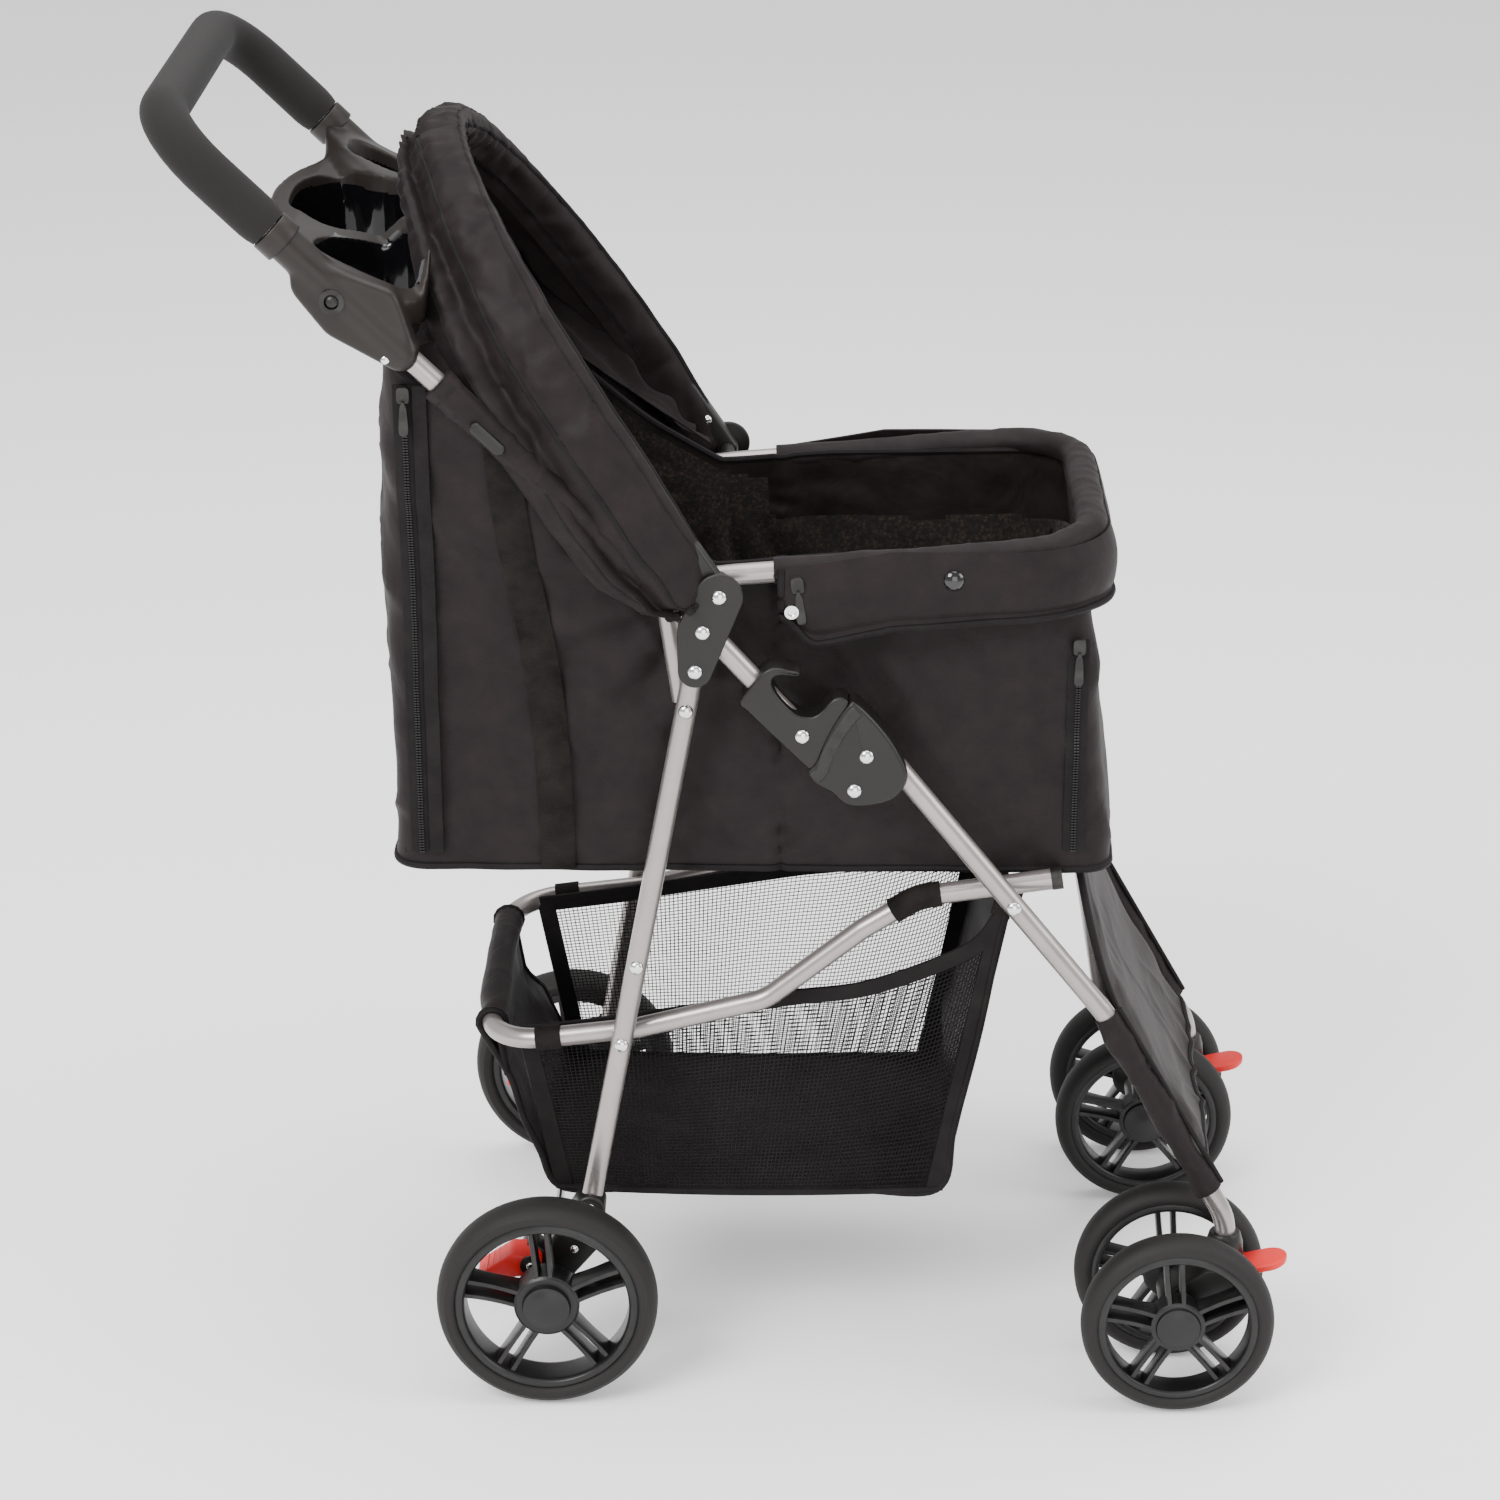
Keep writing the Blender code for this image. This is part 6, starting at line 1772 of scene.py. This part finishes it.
def makeBasket():
    size = basketSizes
    low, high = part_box("basket")
    extras = []
    for label, sign in sides:
        surface = basketSide(sign)
        net = netMesh("net", netOver(surface, 0.34, 0.165, size["pitch"], 26, 12), size["thread"])
        extras.append(bring(f"basketNet_{label}", net, "mesh", "lower_rail", []))
        trims = []
        head = [surface(i / 60, 1.0) for i in range(61)]
        foot = [surface(i / 60, 0.0) for i in range(61)]
        trims.append(ribbon("head", head, 0.013, 0.0028, Vector((0.0, 1.0, 0.02)), 0.0))
        trims.append(cord("foot", foot, 0.0030, 8))
        for u in (0.0, 1.0):
            line = [surface(abs(u - 0.012), j / 20) for j in range(21)]
            trims.append(ribbon("upright", line, 0.014, 0.0028, Vector((0.0, 1.0, 0.02))))
        extras.append(bring(f"basketBinding_{label}", joined("trims", trims), "binding", "lower_rail", []))
    rearSide, frontSide = basketSide(-1), basketSide(1)
    section = []
    rail = spot(-0.046, railRear.y - 0.012)
    for turn in range(-60, 221, 20):          # over the rear bar, from inside to outside
        section.append(rail + polar(0.0108, turn))
    section = [rail + side(0.011, -0.045)] + section
    hang = [spot(-0.030, 0.215), spot(-0.010, 0.170), spot(0.006, size["floor"])]
    bottom = [spot(x, size["floor"] - 0.003 * math.sin(math.pi * (x + 0.0) / 0.302)) for x in (0.06, 0.12, 0.18, 0.24)]
    front = [spot(0.302, size["floor"]), spot(0.313, 0.19), spot(0.330, 0.27), spot(0.343, 0.345), spot(0.349, 0.374)]
    outline = smoothPath([at(p, 0.0) for p in section + hang + bottom + front], 150)
    rows = []
    for p in outline:
        row = []
        for j in range(66):
            w = j / 65 * 2 - 1
            half = size["half"] - 0.004 * (1 - smoothStep(0.135, 0.30, p.z))
            if p.x < axle.x - 0.018 and p.z > 0.20:
                half = mixed(0.124, 0.098, smoothStep(0.018, 0.034, axle.x - p.x))
            q = Vector((p.x, w * half, p.z))
            middle = 1 - w * w
            if p.x > axle.x + 0.295:
                q.z -= 0.020 * middle * smoothStep(0.22, 0.374, p.z)
                q.x += 0.004 * middle
            if size["floor"] + 0.01 > p.z:
                q.z -= 0.0025 * middle
            else:
                q.x += crumple(q, 0.055, 0.0042, 5.0) * min(1.0, middle * 3)
            q.z += crumple(q, 0.06, 0.0030, 2.0) * (1 if p.z < 0.16 else 0.2) * min(1.0, middle * 3)
            row.append(q)
        rows.append(row)
    mesh = clothGrid("panels", rows, 0.0016)
    panels = bring("basketPanels", mesh, "shell", "lower_rail", ["basket"])
    edges = [cord("edge", evenPath([row[k] for row in rows], 150), 0.0028, 8, Vector((0.01, 1.0, 0.02)))
             for k in (0, -1)]
    edges.append(cord("top", rows[-1], 0.0036, 8, Vector((1.0, 0.02, 0.1))))
    extras.append(bring("basketPiping", joined("edges", edges), "binding", "lower_rail", []))
    loops = bring("basketLoops", joined("loops", basketLoops()), "webbing", "lower_rail", [])
    extras.append(loops)
    for piece in [panels, *extras]:
        if piece != loops:
            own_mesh(piece)
    print("basket made")


def basketLoops():
    """Bands of webbing over the rail that hold the basket's front corners."""
    made = []
    path = evenPath(lowerRailPath(), 300)
    for sign in (-1, 1):
        near = [p for p in path if p.y * sign > 0.12 and axle.x + 0.262 < p.x < axle.x + 0.300]
        near.sort(key=lambda p: p.x)
        if len(near) > 1:
            made.append(tubeMesh("loop", evenPath(near, 14), tubeRadius + 0.0018, 20))
        rear = [p for p in path if p.y * sign > 0.12 and axle.x - 0.012 < p.x < axle.x + 0.012]
        rear.sort(key=lambda p: p.x)
        if len(rear) > 1:
            made.append(tubeMesh("loop", evenPath([rear[0], rear[-1]], 5), tubeRadius + 0.0016, 20))
        corner = at(spot(0.347, 0.374), sign * 0.125)
        hold = at(spot(0.352, 0.398), sign * 0.134)
        made.append(ribbon("tab", evenPath([corner, hold], 6), 0.020, 0.002, Vector((0.1, sign, 0.1))))
    return made


# ---- front panel ----


def makeFrontPanel():
    left, right = [], []
    lineUp = [(0.404, 0.408, 0.112), (0.414, 0.365, 0.140), (0.428, 0.322, 0.1585), (0.452, 0.272, 0.160),
              (0.478, 0.222, 0.160), (0.502, 0.182, 0.160)]
    sideLine = smoothPath([Vector((axle.x + x, y, z)) for x, z, y in lineUp], 60)
    rows = []
    for index, p in enumerate(sideLine):
        t = index / 59
        row = []
        for j in range(70):
            w = j / 69 * 2 - 1
            q = Vector((p.x, w * p.y, p.z))
            middle = 1 - w * w
            q.x += 0.007 * min(1.0, middle * 3)             # in front of the legs' cross bar
            q.z -= 0.005 * middle * t
            q.x += (crumple(Vector((q.x, q.y * 0.5, q.z)), 0.060, 0.0050, 3.0) + pleat(q, 0.07, 0.003, 2.0) * t) * min(
                1.0, middle * 4)
            row.append(q)
        rows.append(row)
    mesh = clothGrid("panel", rows, 0.0016)
    panel = bring("frontShieldPanel", mesh, "shell", "front_frame", ["front_panel"])
    trims, sleeves = [], []
    for sign, k in ((-1, 0), (1, -1)):
        trims.append(cord("side", evenPath([row[k] for row in rows[:34]], 60), 0.0030, 8, Vector((0.1, 1.0, 0.05))))
    trims.append(cord("low", rows[-1], 0.0032, 8, Vector((1.0, 0.02, 0.1))))
    trims.append(cord("high", rows[0], 0.0032, 8, Vector((1.0, 0.02, 0.1))))
    direction = (stemCorner - frontBend).normalized()
    for sign in (-1, 1):
        path = evenPath([at(frontBend + direction * d, sign * framePlane) for d in (0.004, 0.090, 0.172)], 70)
        rings = []
        for index, (p, ahead, across, up) in enumerate(pathFrames(path, Vector((0.0, 1.0, 0.01)))):
            ring = []
            for i in range(24):
                turn = math.tau * i / 24
                q = p + (across * math.cos(turn) + up * math.sin(turn)) * (0.0100 + 0.0008 * math.sin(index * 0.2))
                ring.append(q + (q - p).normalized() * (crumple(q, 0.024, 0.0013, 8.0) + pleat(q, 0.03, 0.0010, 1.0)))
            rings.append(ring)
        shape = bmesh.new()
        outer = [[shape.verts.new(q) for q in ring] for ring in rings]
        inner = [[shape.verts.new(p + (q - p) * 0.87) for q in ring] for p, ring in zip(path, rings)]
        for skin in (outer, inner):
            for first, second in zip(skin, skin[1:]):
                for i in range(24):
                    j = (i + 1) % 24
                    shape.faces.new((first[i], first[j], second[j], second[i]))
        for index in (0, -1):
            for i in range(24):
                j = (i + 1) % 24
                shape.faces.new((outer[index][i], outer[index][j], inner[index][j], inner[index][i]))
        sleeves.append(toMesh(shape, "sleeve", 70))
        trims.append(cord("spine", [p + Vector((0.0098, 0.0, 0.006)) for p in path], 0.0022, 8, Vector((0, 1, 0.01))))
    covers = bring("legSleeves", joined("sleeves", sleeves, 70), "shell", "front_frame", [])
    trim = bring("panelBinding", joined("trims", trims), "binding", "front_frame", [])
    print("front panel made")


# ---- scene ----

def makeStage():
    floor = bpy.data.meshes.new("floor")
    floor.from_pydata([(-30, -30, 0), (30, -30, 0), (30, 30, 0), (-30, 30, 0)], [], [(0, 1, 2, 3)])
    floor = bpy.data.objects.new("studioFloor", floor)
    bpy.context.scene.collection.objects.link(floor)
    look, shader, desk = shaderFor("studio_floor", 0.85)
    grain = desk.add("ShaderNodeTexNoise", Scale=3.0, Detail=2.0)
    desk.feed(shader, "Base Color", colourBetween(desk, grain.outputs["Fac"], (0.90, 0.90, 0.90), (0.93, 0.93, 0.93)))
    shader.inputs["Emission Color"].default_value = (1.0, 1.0, 1.0, 1.0)
    shader.inputs["Emission Strength"].default_value = 0.20
    floor.data.materials.append(look)
    world = bpy.data.worlds.new("studio")
    bpy.context.scene.world = world
    world.use_nodes = True
    world.node_tree.nodes["Background"].inputs["Color"].default_value = (1.0, 1.0, 1.0, 1.0)
    world.node_tree.nodes["Background"].inputs["Strength"].default_value = 0.95
    lamps = (
        ("keyLamp", (-1.9, -2.4, 3.0), 1.8, 190.0),
        ("topLamp", (0.2, 0.4, 3.6), 3.2, 120.0),
        ("rimLamp", (2.6, -0.6, 1.8), 1.6, 48.0),
        ("frontLamp", (0.6, -3.6, 1.1), 2.0, 40.0),
    )
    for name, spot, size, power in lamps:
        data = bpy.data.lights.new(name, "AREA")
        data.size = size
        data.energy = power
        lamp = bpy.data.objects.new(name, data)
        lamp.location = spot
        lamp.rotation_euler = (Vector((0.0, 0.0, 0.45)) - Vector(spot)).to_track_quat("-Z", "Y").to_euler()
        bpy.context.scene.collection.objects.link(lamp)


def makeCamera():
    data = bpy.data.cameras.new("studioCamera")
    data.sensor_width = 36.0
    data.lens = 98.7
    camera = bpy.data.objects.new("studioCamera", data)
    camera.location = (axle.x + 0.192, -2.984, 1.646)
    camera.rotation_euler = (math.radians(90 - 21.72), 0.0, math.radians(0.75))
    bpy.context.scene.collection.objects.link(camera)
    bpy.context.scene.camera = camera


makeStage()
makeCamera()
dressCadNodes()
makeWheels()
makeTubes()
makeGrip()
makeTray()
makeHinges()
makeRearFeet()
makeCasters()
makeCabin()
makeFloor()
makeApron()
makeCanopy()
makeHandleSleeves()
makeBasket()
makeFrontPanel()
